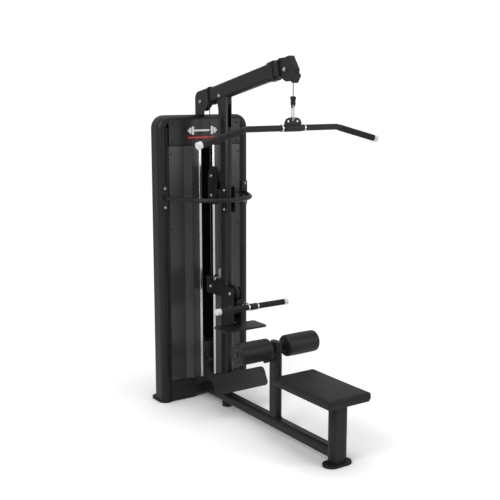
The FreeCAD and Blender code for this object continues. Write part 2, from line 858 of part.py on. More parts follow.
def build_foot_plate():
    """Inclined tread for the low row, on an arm from the mast."""
    slope = math.degrees(math.atan2(TREAD_RISE, TREAD_RUN))
    tread = extrusion("XY", 0, D.plate_thick, rounded(0, 0, TREAD_WIDE, TREAD_DEEP, TREAD_CORNER))
    tread.Base.Placement = Placement(Vector(), Rotation(Vector(1, 0, 0), 90.0 - slope))
    bind(tread.Base, Placement__Base__y=-474.0 + 5.2, Placement__Base__z=213.0 - 2.9)
    arm = extrusion("YZ", -25, 50, polygon((-320, 238), (-320, 168), (-489.8, 172.3), (-450.8, 242.5)))
    mast_core = extrusion("XY", 100, 300, oval(0, D.mast_depth, D.mast_across, D.mast_deep))
    node("foot_plate", fuse(tread, cut(arm, mast_core)))


SHELF_HIGH = 561.0
SHELF_SHEET = 4.0
SHELF_RIM = 7.0
SHELF_DEPTH = -470.5
SHELF_WIDE = 302.0
SHELF_DEEP = 149.0
SHELF_CORNER = 14.0


def build_shelf():
    """Small shelf with a turned-down rim under the row handle."""
    edge = rounded(0, SHELF_DEPTH, SHELF_WIDE, SHELF_DEEP, SHELF_CORNER)
    fold = SHELF_SHEET * 2
    inside = rounded(0, SHELF_DEPTH, SHELF_WIDE - fold, SHELF_DEEP - fold, SHELF_CORNER - SHELF_SHEET)
    top = extrusion("XY", SHELF_HIGH, SHELF_SHEET, edge)
    rim = extrusion("XY", SHELF_HIGH - SHELF_RIM, SHELF_RIM, edge, inside)
    node("shelf", fuse(top, rim))


def build_low_bracket():
    """Cheek plates on the mast for the row station's pulleys."""
    bores = [
        circle(D.row_axle, D.row_high + D.guide_wrap, PLATE_BORE),
        circle(D.row_axle, D.row_high - D.guide_wrap, PLATE_BORE),
    ]
    sides = []
    for start in (D.mast_across / 2 + CHEEK_GAP, -D.mast_across / 2 - CHEEK_GAP - D.plate_thick):
        front = extrusion("YZ", start, D.plate_thick, rounded(-370, 682, 140, 234, 14), *bores)
        rear = extrusion("YZ", start, D.plate_thick, rounded(-217.5, 776, 195, 110, 14))
        axle = rod("X", PLATE_BORE, (start - 1, D.block_axle, D.row_high + D.wrap_radius), D.plate_thick + 2)
        anchor = rod("X", PLATE_BORE, (start - 1, D.anchor_depth, D.anchor_high), D.plate_thick + 2)
        sides.append(cut(fuse(front, rear), axle, anchor))
    node("low_pulley_bracket", *sides)


def cable_anchor():
    """Eye and turnbuckle that hold the fixed end of the row cable."""
    eye = rod("X", 15, (-10, D.anchor_depth, D.anchor_high), 20)
    shank = rod("Z", 7, (0, D.anchor_depth, D.anchor_high + 10), D.anchor_top - D.anchor_high - 10)
    sleeve = rod("Z", 11, (0, D.anchor_depth, D.anchor_high + 38), D.anchor_top - D.anchor_high - 46)
    bore = rod("X", PLATE_BORE, (-11, D.anchor_depth, D.anchor_high), 22)
    return cut(fuse(eye, shank, sleeve), bore)


def axle(depth, high, cheek_inner, cheek_outer, hub=11.6, spacer=12):
    """Pulley axle with its spacers and a domed head outside each cheek."""
    cheek_outer = as_size(cheek_outer)
    shaft = rod("X", D.axle_radius, (-cheek_outer, depth, high), cheek_outer * 2)
    parts = [shaft]
    for side in (1, -1):
        head = cheek_outer if side > 0 else -cheek_outer - 7
        parts.append(rod("X", 13, (head, depth, high), 7))
        start = as_size(hub) if side > 0 else -as_size(cheek_inner)
        parts.append(rod("X", spacer, (start, depth, high), as_size(cheek_inner) - hub))
    return fuse(*parts)


BOLT_HEAD = 9.0
BOLT_TALL = 6.0
BOLT_REACH = 12.2
EAR_BOLT = -348.0
SCREW_HEAD = 6.0
SCREW_TALL = 2.5
SCREW_INSET = 13.0
SCREW_LOWER = 9.0          # the upper pair sits further in


def build_fasteners():
    """Pulley axles, the cable anchor and its bolt, hoop bolts and name plate screws."""
    side = D.mast_across / 2 + CHEEK_GAP
    low = (D.row_high + D.guide_wrap, D.row_high - D.guide_wrap)
    solids = [
        axle(D.front_axle, D.front_axle_high, HEAD_CHEEK, HEAD_CHEEK + HEAD_PLATE),
        axle(D.mid_axle, D.mid_axle_high, D.boom_across / 2 - 5, D.boom_across / 2, spacer=10.5),
        axle(D.rear_axle, D.rear_axle_high, D.boom_across / 2 + 0.2, D.boom_across / 2 + 6.2),
        axle(D.row_axle, low[0], side, side + D.plate_thick),
        axle(D.row_axle, low[1], side, side + D.plate_thick),
        axle(D.block_axle, D.row_high + D.wrap_radius, side, side + D.plate_thick),
        axle(D.anchor_depth, D.anchor_high, side, side + D.plate_thick),
        cable_anchor(),
    ]
    ear_face = side + D.plate_thick
    for across in (1, -1):
        for rise in (1, -1):
            high = D.hoop_high + D.hoop_bolts * rise
            solids.append(rod("Y", BOLT_HEAD, (UPRIGHT * across, -TUBE_FACE - BOLT_REACH, high), BOLT_TALL))
            start = ear_face if across > 0 else -ear_face - BOLT_TALL
            solids.append(rod("X", BOLT_HEAD, (start, EAR_BOLT, high), BOLT_TALL))
        for high in (D.plate_low + SCREW_INSET, D.plate_high - SCREW_INSET - SCREW_LOWER):
            place = (D.screw_across * across, -TUBE_FACE - D.panel_thick - PANEL_GAP - SCREW_TALL, high)
            solids.append(rod("Y", SCREW_HEAD, place, SCREW_TALL))
    node("fasteners", *solids)


HOOP_END = 68.4            # rail end, just clear of its flange
PLATE_TALL = 160.0
PLATE_WIDE = 42.0
EAR_WIDE = 44.0
EAR_DEPTH = -351.0
PLATE_CORNER = 12.0


def hoop_route():
    """Plan of the rail: out of each flange, round a bend and along a lean into the wide front arc."""
    across = D.hoop_half.value - D.hoop_bend.value
    apart = D.hoop_bend_depth.value - D.hoop_depth.value
    spare = D.hoop_radius.value - D.hoop_bend.value
    swing = math.degrees(math.acos(spare / math.hypot(across, apart)) - math.atan2(apart, across))
    reach, fall = math.cos(math.radians(swing)), math.sin(math.radians(swing))
    side = D.hoop_radius.value * reach
    depth = D.hoop_depth.value - D.hoop_radius.value * fall
    bend_side = across + D.hoop_bend.value * reach
    bend_depth = D.hoop_bend_depth.value - D.hoop_bend.value * fall
    return path(
        ("to", -D.hoop_half, -HOOP_END),
        ("to", -D.hoop_half, D.hoop_bend_depth),
        ("arc", -across, D.hoop_bend_depth, D.hoop_bend, 180, 180 + swing),
        ("to", -side, depth),
        ("arc", 0, D.hoop_depth, D.hoop_radius, 180 + swing, 360 - swing),
        ("to", bend_side, bend_depth),
        ("arc", across, D.hoop_bend_depth, D.hoop_bend, 360 - swing, 360),
        ("to", D.hoop_half, -HOOP_END),
    )


def build_hoop():
    """Round rail from upright to upright in front of the mast, with its welded end plates and ears."""
    rail = helper_body("rail")
    profile = sketch_in(rail, "XZ", circle(-D.hoop_half, D.hoop_high, D.hoop_tube), offset=HOOP_END)
    pipe(rail, profile, sketch_in(rail, "XY", hoop_route(), offset=D.hoop_high))

    flanges = extrusion(
        "XZ", TUBE_FACE + CHEEK_GAP, D.plate_thick,
        rounded(UPRIGHT, D.hoop_high, PLATE_WIDE, PLATE_TALL, PLATE_CORNER),
        rounded(-UPRIGHT, D.hoop_high, PLATE_WIDE, PLATE_TALL, PLATE_CORNER),
    )
    ears = mirrored_plates(
        D.mast_across / 2 + CHEEK_GAP, D.plate_thick,
        rounded(EAR_DEPTH, D.hoop_high, EAR_WIDE, PLATE_TALL, PLATE_CORNER),
    )
    node("hoop_rail", rail, flanges, *ears)


# ---------------------------------------------------------------- seat and hold-down
PAD_CORNER = 12.0
PAD_EDGE = 8.0


def build_seat():
    """Seat rail with its top plate, and the cushion."""
    leg_rear = D.leg_depth + D.leg_deep / 2
    post_front = D.post_depth - D.mast_deep / 2
    rail = block((-25, 25), (leg_rear, post_front - 0.3), (313, D.leg_top))
    plate = block((-95, 95), (D.pad_front + 40, D.pad_rear - 40), (D.leg_top, D.leg_top + 6.7))
    node("seat_rail", fuse(rail, plate))

    body = new_body("seat_pad")
    middle = (D.pad_rear + D.pad_front) / 2
    low = D.pad_top - D.pad_thick
    outline = rounded(0, middle, D.pad_half * 2, D.pad_rear - D.pad_front, PAD_CORNER)
    block_pad = pad(body, sketch_in(body, "XY", outline, offset=low), D.pad_thick)
    top = DIMENSIONS["pad_top"]
    soften(body, block_pad, PAD_EDGE, lambda edge: abs(edge.BoundBox.ZMin - top) < 0.01)


POPPER_MOUTH = -50.0
POPPER_ROOT = -22.0
POPPER_BARREL = 5.5
POPPER_STROKE = 6.0
POPPER_TIP = -21.3
POPPER_GRIP = 35.0
HOLE_GAP = 0.35
POPPER_KNOB = 8.5


def build_thigh_post():
    """Post for the hold-down, with a welded bush for the pop-pin."""
    tube = oval_tube(D.beam_high, D.post_top, D.post_depth, D.mast_across, D.mast_deep)
    barrel_long = POPPER_ROOT - POPPER_MOUTH
    bush = rod("X", POPPER_BARREL, (POPPER_MOUTH, D.post_depth, D.popper_high), barrel_long)
    mouth = (POPPER_MOUTH - 1, D.post_depth, D.popper_high)
    hole = rod("X", D.popper_radius + HOLE_GAP, mouth, barrel_long + 5)
    node("thigh_post", cut(fuse(tube, bush), hole))

    body = new_body("pop_pin")
    bind(body, Placement__Base__y=D.tower_depth + D.post_depth, Placement__Base__z=D.popper_high)
    skirt = POPPER_MOUTH - 0.4
    outline = polygon(
        (POPPER_TIP, 0),
        (POPPER_TIP, D.popper_radius),
        (skirt - POPPER_STROKE - 1, D.popper_radius),
        (skirt - POPPER_STROKE - 1, POPPER_BARREL + 0.5),
        (skirt, POPPER_BARREL + 0.5),
        (skirt, POPPER_KNOB - 1),
        (skirt - 1, POPPER_KNOB),
        (skirt - POPPER_GRIP + 3, POPPER_KNOB),
        (skirt - POPPER_GRIP, POPPER_KNOB - 3),
        (skirt - POPPER_GRIP, 0),
    )
    revolve(body, sketch_in(body, "XY", outline), "X")


HEAD_TALL = 72.0
PLUG_INSET = 6.0
SHAFT_SET = 5.0            # cross shaft in front of the post's middle
STEM_PLAY = 1.0
STEM_LOW = 200.0
COLLAR_RADIUS = 19.0
ROLLER_EDGE = 12.0
EDGE_MIDDLE = 3.5          # halfway round the rolled edge


def build_hold_down():
    """Sliding stem with the cross shaft, and a foam roller each side."""
    gap = D.mast_wall * 2 + STEM_PLAY
    stem = extrusion(
        "XY", STEM_LOW, D.post_top - STEM_LOW,
        oval(0, D.post_depth, D.mast_across - gap, D.mast_deep - gap),
    )
    head = extrusion("XY", D.post_top + 0.5, HEAD_TALL, oval(0, D.post_depth, D.mast_across, D.mast_deep))
    plug = extrusion(
        "XY", D.post_top + HEAD_TALL, 10,
        oval(0, D.post_depth, D.mast_across - PLUG_INSET * 2, D.mast_deep - PLUG_INSET * 2),
    )
    neck = extrusion("XY", D.post_top - 2, 4, oval(0, D.post_depth, D.mast_across - gap, D.mast_deep - gap))
    shaft_long = D.roller_outer * 2 + 8
    shaft_depth = D.post_depth - SHAFT_SET
    shaft = rod("X", D.cross_radius, (-shaft_long / 2, shaft_depth, D.roller_high), shaft_long)
    collars = rod("X", COLLAR_RADIUS, (1 - D.roller_inner, shaft_depth, D.roller_high), D.roller_inner * 2 - 2)
    holes = [
        rod("X", D.popper_radius + HOLE_GAP, (-30, D.post_depth, D.popper_high - ADJUST_PITCH * index), 18)
        for index in range(ADJUST_HOLES)
    ]
    node("hold_down_stem", cut(fuse(stem, neck, head, plug, shaft, collars), *holes))

    for label, start in (("roller_left", -D.roller_outer), ("roller_right", D.roller_inner)):
        body = new_body(label)
        bind(body, Placement__Base__y=D.tower_depth + shaft_depth, Placement__Base__z=D.roller_high)
        end = start + D.roller_outer - D.roller_inner
        bore = D.cross_radius + D.run_gap
        outline = polygon(
            (start, bore),
            (end, bore),
            (end, D.roller_radius - ROLLER_EDGE),
            (end - EDGE_MIDDLE, D.roller_radius - EDGE_MIDDLE),
            (end - ROLLER_EDGE, D.roller_radius),
            (start + ROLLER_EDGE, D.roller_radius),
            (start + EDGE_MIDDLE, D.roller_radius - EDGE_MIDDLE),
            (start, D.roller_radius - ROLLER_EDGE),
        )
        revolve(body, sketch_in(body, "XY", outline), "X")


# ---------------------------------------------------------------- handles
BAR_SLOPE = math.atan2(DIMENSIONS["bar_drop"], DIMENSIONS["bar_reach"] - DIMENSIONS["bar_straight"])
EYE_RISE = 46.0            # from a handle's axis to its eye
EYE_HOLE = 7.5
EYE_PLATE = 6.0
HANGER_SLEEVE = 20.5
HANGER_RING = 19.5
HANGER_HALF = 56.0
HUMP = ((57, 17.5), (55, 34), (42, 49), (20, 57))   # right half of the plate, above the bar's axis
SIDE_HOLE = 31.0
SIDE_RISE = 37.0
RING_START = 71.0
RING_LONG = 9.0
BAR_END = math.hypot(DIMENSIONS["bar_drop"], DIMENSIONS["bar_reach"] - DIMENSIONS["bar_straight"])


def on_bar_end(side, radius, start, length, bore=None):
    """A sleeve or cap along the lat bar's bent end, measured from the bend."""
    solid = rod("X", radius, (0, 0, 0), length)
    turn = Rotation(Vector(0, 1, 0), 90 + math.degrees(BAR_SLOPE) if side > 0 else -90 - math.degrees(BAR_SLOPE))
    solid.Placement = Placement(Vector(), turn)
    reach, fall = start * math.cos(BAR_SLOPE), start * math.sin(BAR_SLOPE)
    place = dict(
        Placement__Base__x=(D.bar_straight + reach) * side,
        Placement__Base__y=D.bar_depth,
        Placement__Base__z=D.bar_high - fall,
    )
    bind(solid, **place)
    if bore is None:
        return solid
    hollow = rod("X", bore, (0, 0, 0), length)
    hollow.Placement = Placement(Vector(), turn)
    bind(hollow, **place)
    return cut(solid, hollow)


def build_lat_bar():
    """Wide bar with dropped ends, rubber grips, end caps and a hanger plate."""
    cap_start = BAR_END - DIMENSIONS["cap_long"]
    reach, fall = cap_start * math.cos(BAR_SLOPE), cap_start * math.sin(BAR_SLOPE)
    body = new_body("lat_bar")
    trim = 60 * math.tan(BAR_SLOPE / 2)
    tilt = math.degrees(BAR_SLOPE)
    spine = sketch_in(body, "XZ", path(
        ("to", 0, D.bar_high),
        ("to", D.bar_straight - trim, D.bar_high),
        ("arc", D.bar_straight - trim, D.bar_high - 60, 60, 90, 90 - tilt),
        ("to", D.bar_straight + reach, D.bar_high - fall),
    ), offset=-D.bar_depth)
    profile = sketch_in(body, "YZ", circle(D.bar_depth, D.bar_high, D.bar_radius))
    half = pipe(body, profile, spine)
    mirror = body.newObject("PartDesign::Mirrored", unique("mirror"))
    mirror.Originals = [half]
    mirror.MirrorPlane = (next(item for item in body.Origin.OriginFeatures if item.Role == "YZ_Plane"), [""])
    body.Tip = mirror

    sleeve_start = 24.0
    node("lat_bar_grips", *[
        on_bar_end(side, D.grip_radius, sleeve_start, cap_start - sleeve_start, D.bar_radius + 0.05)
        for side in (1, -1)
    ])
    node("lat_bar_caps", *[on_bar_end(side, D.cap_radius, cap_start, D.cap_long) for side in (1, -1)])

    sleeve = hollow_sleeve(HANGER_SLEEVE, -HANGER_HALF, HANGER_HALF * 2, D.bar_depth, D.bar_high)
    right = [(x, D.bar_high + rise) for x, rise in HUMP]
    left = [(-x, high) for x, high in reversed(right)]
    plate = extrusion(
        "XZ", -D.bar_depth - EYE_PLATE / 2, EYE_PLATE, polygon(*right, *left),
        circle(0, D.bar_high + EYE_RISE, EYE_HOLE),
        circle(SIDE_HOLE, D.bar_high + SIDE_RISE, EYE_HOLE - 0.7),
        circle(-SIDE_HOLE, D.bar_high + SIDE_RISE, EYE_HOLE - 0.7),
    )
    rings = [
        hollow_sleeve(HANGER_RING, start, RING_LONG, D.bar_depth, D.bar_high)
        for start in (RING_START, -RING_START - RING_LONG)
    ]
    node("lat_hanger", fuse(sleeve, plate), *rings)


def hollow_sleeve(radius, start, length, depth, high):
    """A sleeve on a straight bar that runs across the machine."""
    outer = rod("X", radius, (start, depth, high), length)
    inner = rod("X", D.bar_radius + 0.05, (start - 1, depth, high), length + 2)
    return cut(outer, inner)


def build_link(label, route, plane, outline, offset):
    """Closed oval link of round wire, swept along a route in the YZ plane."""
    body = new_body(label)
    spine = sketch_in(body, "YZ", route)
    profile = sketch_in(body, plane, outline, offset=offset)
    pipe(body, profile, spine)


BALL_RADIUS = 17.0
BALL_RISE = 36.0           # from a link's far end to the ball's middle
BARREL_RADIUS = 14.0


def rubber_ball(depth, high):
    """Ball that stops the cable's end at its pulleys."""
    ball = doc.addObject("Part::Sphere", unique("ball"))
    bind(ball, Radius=BALL_RADIUS, Placement__Base__y=depth, Placement__Base__z=high)
    return ball


def build_lat_end():
    """Snap link, swivel eye and rubber ball stop at the lat cable's lower end."""
    bend, half = D.link_bend, D.link_long / 2
    eye = D.bar_high + EYE_RISE
    middle = eye - 0.5 + bend + half
    build_link("lat_snap_link", path(
        ("to", D.bar_depth + bend, middle),
        ("to", D.bar_depth + bend, middle + half),
        ("arc", D.bar_depth, middle + half, bend, 0, 180),
        ("to", D.bar_depth - bend, middle - half),
        ("arc", D.bar_depth, middle - half, bend, 180, 360),
        ("to", D.bar_depth + bend, middle),
    ), "XY", circle(0, D.bar_depth + bend, D.link_wire), middle)
    top = middle + half + bend
    barrel = rod("Z", BARREL_RADIUS, (0, D.bar_depth, top + EYE_PLATE), 17)
    lug = extrusion(
        "XZ", -D.bar_depth - EYE_PLATE / 2, EYE_PLATE, rounded(0, top, 24, 24, 8), circle(0, top - 0.5, EYE_HOLE),
    )
    node("lat_swivel_eye", fuse(barrel, lug))
    ball = rubber_ball(D.bar_depth, top + BALL_RISE)
    trim = rod("Z", 18, (0, D.bar_depth, top + 3), 20.3)
    node("lat_ball_stop", cut(ball, trim))


def build_row_handle():
    """Straight bar with collars, caps and an eye plate, then its link and ball stop."""
    body = new_body("row_bar")
    length = (D.row_half - D.cap_long) * 2
    profile = sketch_in(body, "YZ", circle(D.row_depth, D.row_high, D.bar_radius))
    pad(body, profile, length, middle=True)
    starts = (D.row_half - D.cap_long, -D.row_half)
    node("row_bar_caps", *[rod("X", D.cap_radius, (start, D.row_depth, D.row_high), D.cap_long) for start in starts])

    eye = D.row_depth + EYE_RISE - 8
    sleeve = hollow_sleeve(HANGER_SLEEVE, -27, 54, D.row_depth, D.row_high)
    plate = extrusion("XY", D.row_high - 3, 6, polygon(
        (-26, D.row_depth + 17.5), (26, D.row_depth + 17.5), (26, D.row_depth + 22),
        (14, eye + 12), (-14, eye + 12), (-26, D.row_depth + 22),
    ), circle(0, eye, 7.5))
    rings = [hollow_sleeve(HANGER_RING, start, 9, D.row_depth, D.row_high) for start in (27.5, -36.5)]
    node("row_eye_plate", fuse(sleeve, plate), *rings)

    bend, half = D.link_bend, D.link_long / 2
    middle = eye - 0.5 + bend + half
    build_link("row_snap_link", path(
        ("to", middle, D.row_high + bend),
        ("to", middle + half, D.row_high + bend),
        ("arc", middle + half, D.row_high, bend, 90, -90),
        ("to", middle - half, D.row_high - bend),
        ("arc", middle - half, D.row_high, bend, 270, 90),
        ("to", middle, D.row_high + bend),
    ), "XZ", circle(0, D.row_high + bend, D.link_wire), -middle)
    far = middle + half + bend
    barrel = rod("Y", BARREL_RADIUS, (0, far + EYE_PLATE, D.row_high), 24)
    lug = extrusion(
        "XY", D.row_high - EYE_PLATE / 2, EYE_PLATE, rounded(0, far, 24, 24, 8), circle(0, far - 0.5, EYE_HOLE),
    )
    node("row_ball_stop", fuse(rubber_ball(far + BALL_RISE, D.row_high), barrel, lug))


# ---------------------------------------------------------------- pulleys, floating block and cables
HUB_HALF = 11.0
HUB_RADIUS = 20.0
WEB_HALF = 5.0
RIM_HALF = 9.0
GROOVE_HALF = 3.6


def build_pulley(label, depth, high, rim, root):
    """Grooved wheel that turns about an axle across the machine."""
    body = new_body(label)
    bind(body, Placement__Base__y=D.tower_depth + depth, Placement__Base__z=high)
    bore = D.axle_radius + D.run_gap
    half = [
        (HUB_HALF, bore),
        (HUB_HALF, HUB_RADIUS),
        (WEB_HALF, HUB_RADIUS + 3),
        (WEB_HALF, root - 8),
        (RIM_HALF, root - 4),
        (RIM_HALF, rim),
        (RIM_HALF - 1, rim),
        (GROOVE_HALF, root),
    ]
    other = [(-across, radius) for across, radius in reversed(half)]
    revolve(body, sketch_in(body, "XY", polygon(*half, *other)), "X")


def build_pulleys():
    root = D.wrap_radius - D.cable_radius - 0.4
    build_pulley("front_pulley", D.front_axle, D.front_axle_high, D.rim_radius, root)
    build_pulley("middle_pulley", D.mid_axle, D.mid_axle_high, D.rim_radius, root)
    build_pulley("rear_pulley", D.rear_axle, D.rear_axle_high, D.rim_radius, root)
    build_pulley("block_upper_pulley", D.block_axle, D.block_upper_high, D.rim_radius, root)
    build_pulley("block_lower_pulley", D.block_axle, D.block_lower_high, D.rim_radius, root)
    build_pulley("low_rear_pulley", D.block_axle, D.row_high + D.wrap_radius, D.rim_radius, root)
    guide_root = D.guide_wrap - D.cable_radius - 0.4
    build_pulley("row_guide_upper", D.row_axle, D.row_high + D.guide_wrap, D.guide_rim, guide_root)
    build_pulley("row_guide_lower", D.row_axle, D.row_high - D.guide_wrap, D.guide_rim, guide_root)


def build_floating_block():
    """Two cheeks with two axles, hung in the bight of both cables."""
    middle = (D.block_upper_high + D.block_lower_high) / 2
    long = D.block_upper_high - D.block_lower_high + 100
    cheeks = mirrored_plates(14.2, D.plate_thick, oval(D.block_axle, middle, 100, long))
    axles = [axle(D.block_axle, high, 14.2, 20.2) for high in (D.block_upper_high, D.block_lower_high)]
    node("floating_block", fuse(*cheeks, *axles))


def cable(body, route, plane, start, offset):
    """A cable's length swept along a route in the YZ plane."""
    spine = sketch_in(body, "YZ", route)
    profile = sketch_in(body, plane, circle(0, start, D.cable_radius), offset=offset)
    pipe(body, profile, spine)
    return body


def build_cables():
    """Each cable in the lengths that keep their shape and the lengths that grow or shrink."""
    wrap = D.wrap_radius
    rise = D.mid_axle_high.value - D.front_axle_high.value
    run = D.mid_axle.value - D.front_axle.value
    lean = math.degrees(math.atan2(-rise, run))
    up, along = math.cos(math.radians(lean)), math.sin(math.radians(lean))
    over_boom = cable(helper_body("over_boom"), path(
        ("arc", D.front_axle, D.front_axle_high, wrap, 180, 90 - lean),
        ("to", D.mid_axle + wrap * along, D.mid_axle_high + wrap * up),
        ("arc", D.mid_axle, D.mid_axle_high, wrap, 90 - lean, 0),
    ), "XY", D.front_axle - wrap, D.front_axle_high)
    over_rear = cable(helper_body("over_rear"), path(
        ("arc", D.rear_axle, D.rear_axle_high, wrap, 180, 0),
    ), "XY", D.rear_axle - wrap, D.rear_axle_high)
    low_rear_high = D.row_high + wrap
    under_mast = cable(helper_body("under_mast"), path(
        ("to", D.row_axle, D.row_high),
        ("to", D.block_axle, D.row_high),
        ("arc", D.block_axle, low_rear_high, wrap, 270, 360),
    ), "XZ", D.row_high, -D.row_axle)
    node("guided_cables", over_boom, over_rear, under_mast)

    front, rear = D.block_axle - wrap, D.block_axle + wrap
    cable(new_body("lat_cable_block"), path(
        ("to", front, D.mid_axle_high),
        ("to", front, D.block_upper_high),
        ("arc", D.block_axle, D.block_upper_high, wrap, 180, 360),
        ("to", rear, D.rear_axle_high),
    ), "XY", front, D.mid_axle_high)
    cable(new_body("row_cable_block"), path(
        ("to", rear, low_rear_high),
        ("to", rear, D.block_lower_high),
        ("arc", D.block_axle, D.block_lower_high, wrap, 0, 180),
        ("to", front, D.anchor_top),
    ), "XY", rear, low_rear_high)

    lat_stop_top = D.bar_high + EYE_RISE - 0.5 + D.link_bend * 2 + D.link_long + BALL_RISE + BALL_RADIUS
    node("lat_cable_drop", rod(
        "Z", D.cable_radius, (0, D.bar_depth, lat_stop_top), D.front_axle_high - lat_stop_top,
    ))
    node("lat_cable_stack", rod(
        "Z", D.cable_radius, (0, D.stack_depth, D.selector_top), D.rear_axle_high - D.selector_top,
    ))
    row_stop_rear = D.row_depth + EYE_RISE - 8.5 + D.link_bend * 2 + D.link_long + BALL_RISE + BALL_RADIUS
    node("row_cable_front", rod(
        "Y", D.cable_radius, (0, row_stop_rear, D.row_high), D.row_axle - row_stop_rear,
    ))


# ---------------------------------------------------------------- build, test and write
def build_all():
    build_tower_frame()
    build_tower_fittings()
    build_shield("shield_left", -1)
    build_shield("shield_right", 1)
    build_slot_trims()
    build_stack()
    build_mast()
    build_boom()
    build_rear_bracket()
    build_head_housing()
    build_head_guard()
    build_base()
    build_foot_plate()
    build_shelf()
    build_low_bracket()
    build_fasteners()
    build_hoop()
    build_seat()
    build_thigh_post()
    build_hold_down()
    build_lat_bar()
    build_lat_end()
    build_row_handle()
    build_pulleys()
    build_floating_block()
    build_cables()


def test_and_write():
    """Stop on any failed object or shape, then write one STEP file per sub-part."""
    doc.recompute()
    failed = [thing.Name for thing in doc.Objects if {"Invalid", "Error"} & set(thing.State)]
    if failed:
        raise RuntimeError(f"failed objects: {failed}")
    bad = [item.Label for item in NODES if item.Shape.isNull() or not item.Shape.isValid()]
    if bad:
        raise RuntimeError(f"bad shapes: {bad}")
    os.makedirs("parts", exist_ok=True)
    for item in NODES:
        item.Shape.exportStep(f"parts/{item.Label}.step")
    box = Part.makeCompound([item.Shape for item in NODES]).BoundBox
    print(f"{len(NODES)} sub-parts, x {box.XMin:.1f} {box.XMax:.1f}, y {box.YMin:.1f} {box.YMax:.1f}, "
          f"z {box.ZMin:.1f} {box.ZMax:.1f}")


build_all()
test_and_write()
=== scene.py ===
"""Looks for the lat pulldown and low row machine.  Metres, in the CAD's own frame."""

import math
import random

import bmesh
import bpy
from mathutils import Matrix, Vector


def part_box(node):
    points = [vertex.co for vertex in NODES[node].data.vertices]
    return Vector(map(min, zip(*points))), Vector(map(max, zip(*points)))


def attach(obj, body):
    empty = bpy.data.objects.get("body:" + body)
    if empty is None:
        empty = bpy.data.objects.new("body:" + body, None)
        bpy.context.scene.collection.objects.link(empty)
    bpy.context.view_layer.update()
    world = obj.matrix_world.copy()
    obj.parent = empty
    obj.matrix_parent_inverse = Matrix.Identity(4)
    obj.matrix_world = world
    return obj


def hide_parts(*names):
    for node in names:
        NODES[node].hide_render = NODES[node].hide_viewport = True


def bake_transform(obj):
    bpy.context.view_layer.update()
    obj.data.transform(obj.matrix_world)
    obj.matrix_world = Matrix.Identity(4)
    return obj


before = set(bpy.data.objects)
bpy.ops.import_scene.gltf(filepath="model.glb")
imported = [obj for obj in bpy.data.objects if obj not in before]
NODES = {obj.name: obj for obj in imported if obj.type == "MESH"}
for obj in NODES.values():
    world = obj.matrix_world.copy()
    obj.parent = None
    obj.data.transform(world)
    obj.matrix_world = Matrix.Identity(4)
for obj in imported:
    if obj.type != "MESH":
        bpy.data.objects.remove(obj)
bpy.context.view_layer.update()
X, Y, Z = Vector((1, 0, 0)), Vector((0, 1, 0)), Vector((0, 0, 1))
random.seed(7)

TOWER = 0.71225                  # tower centre plane
TUBE_HALF = 0.062                # half the depth of the tower's tube
TUBE_FACE = TOWER - TUBE_HALF    # front of the tower's tube
UPRIGHT = 0.2985                 # tower upright, from the machine's centre plane
HEAD_SIDE = 0.0172               # outer face of the boom head's cheeks
HOOP_BOLTS = 0.059               # hoop bolts above and below the rail
HOOP_FACE = TOWER - 0.0742       # front of the plain heads on the tower's ends of the hoop
EAR_FACE = 0.0372                # outer face of the plain heads on the hoop's ears
EAR_DEPTH = TOWER - 0.348        # hoop's ears on the mast
SCREW_ACROSS = 0.238             # name plate screws, from the centre plane
ANCHOR_BOLT = Vector((0, TOWER - 0.232, 0.827))
ANCHOR_TOP = 0.890               # end of the row cable, in its turnbuckle
POST = (0.050, 0.090)            # section of the mast and of the hold-down post
BAR_RADIUS = 0.017               # tube of the lat bar
BAR_BEND, BAR_END, BAR_DROP = 0.308, 0.611, 0.078   # where its arms start and end, and their fall
BAR_SLOPE = math.atan2(BAR_DROP, BAR_END - BAR_BEND)


# ---------------------------------------------------------------- places read from the frame
def low(node):
    return Vector(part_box(node)[0])


def high(node):
    return Vector(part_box(node)[1])


def middle(node):
    return (low(node) + high(node)) / 2


def size(node):
    return high(node) - low(node)


# ---------------------------------------------------------------- materials
def new_material(name, gleam=0.5):
    """A material with its shader, object coordinates, and helpers that add and link nodes."""
    material = bpy.data.materials.new(name)
    material.use_nodes = True
    tree = material.node_tree
    shader = tree.nodes["Principled BSDF"]
    shader.inputs["Specular IOR Level"].default_value = gleam
    place = tree.nodes.new("ShaderNodeTexCoord").outputs["Object"]

    def add(kind, inputs=None, **settings):
        item = tree.nodes.new("ShaderNode" + kind)
        for key, value in settings.items():
            setattr(item, key, value)
        for key, value in (inputs or {}).items():
            if isinstance(value, bpy.types.NodeSocket):
                tree.links.new(value, item.inputs[key])
            else:
                item.inputs[key].default_value = value
        return item

    def link(output, target):
        tree.links.new(output, shader.inputs[target])

    return material, shader, place, add, link


def grey(level, tint=0.0):
    """A near-neutral colour; tint moves it towards blue."""
    return (level, level, level * (1 + tint), 1)


def ramp(add, factor, start, end, dark, light):
    item = add("ValToRGB", {"Fac": factor})
    item.color_ramp.elements[0].position = start
    item.color_ramp.elements[1].position = end
    item.color_ramp.elements[0].color = dark
    item.color_ramp.elements[1].color = light
    return item.outputs["Color"]


def bump(add, heights, strength, distance, base=None):
    inputs = {"Height": heights, "Strength": strength, "Distance": distance}
    if base is not None:
        inputs["Normal"] = base
    return add("Bump", inputs).outputs["Normal"]


def noise(add, place, scale, detail=2.0, rough=0.5):
    inputs = {"Vector": place, "Scale": scale, "Detail": detail, "Roughness": rough}
    return add("TexNoise", inputs).outputs["Fac"]


def remap(add, value, start, end, low_out, high_out):
    """Stretch the range from start to end over the range from low_out to high_out."""
    inputs = {"Value": value, "From Min": start, "From Max": end, "To Min": low_out, "To Max": high_out}
    return add("MapRange", inputs).outputs["Result"]


def blend_colours(add, factor, one, two):
    return add("Mix", {"Factor": factor, "A": one, "B": two}, data_type="RGBA").outputs["Result"]


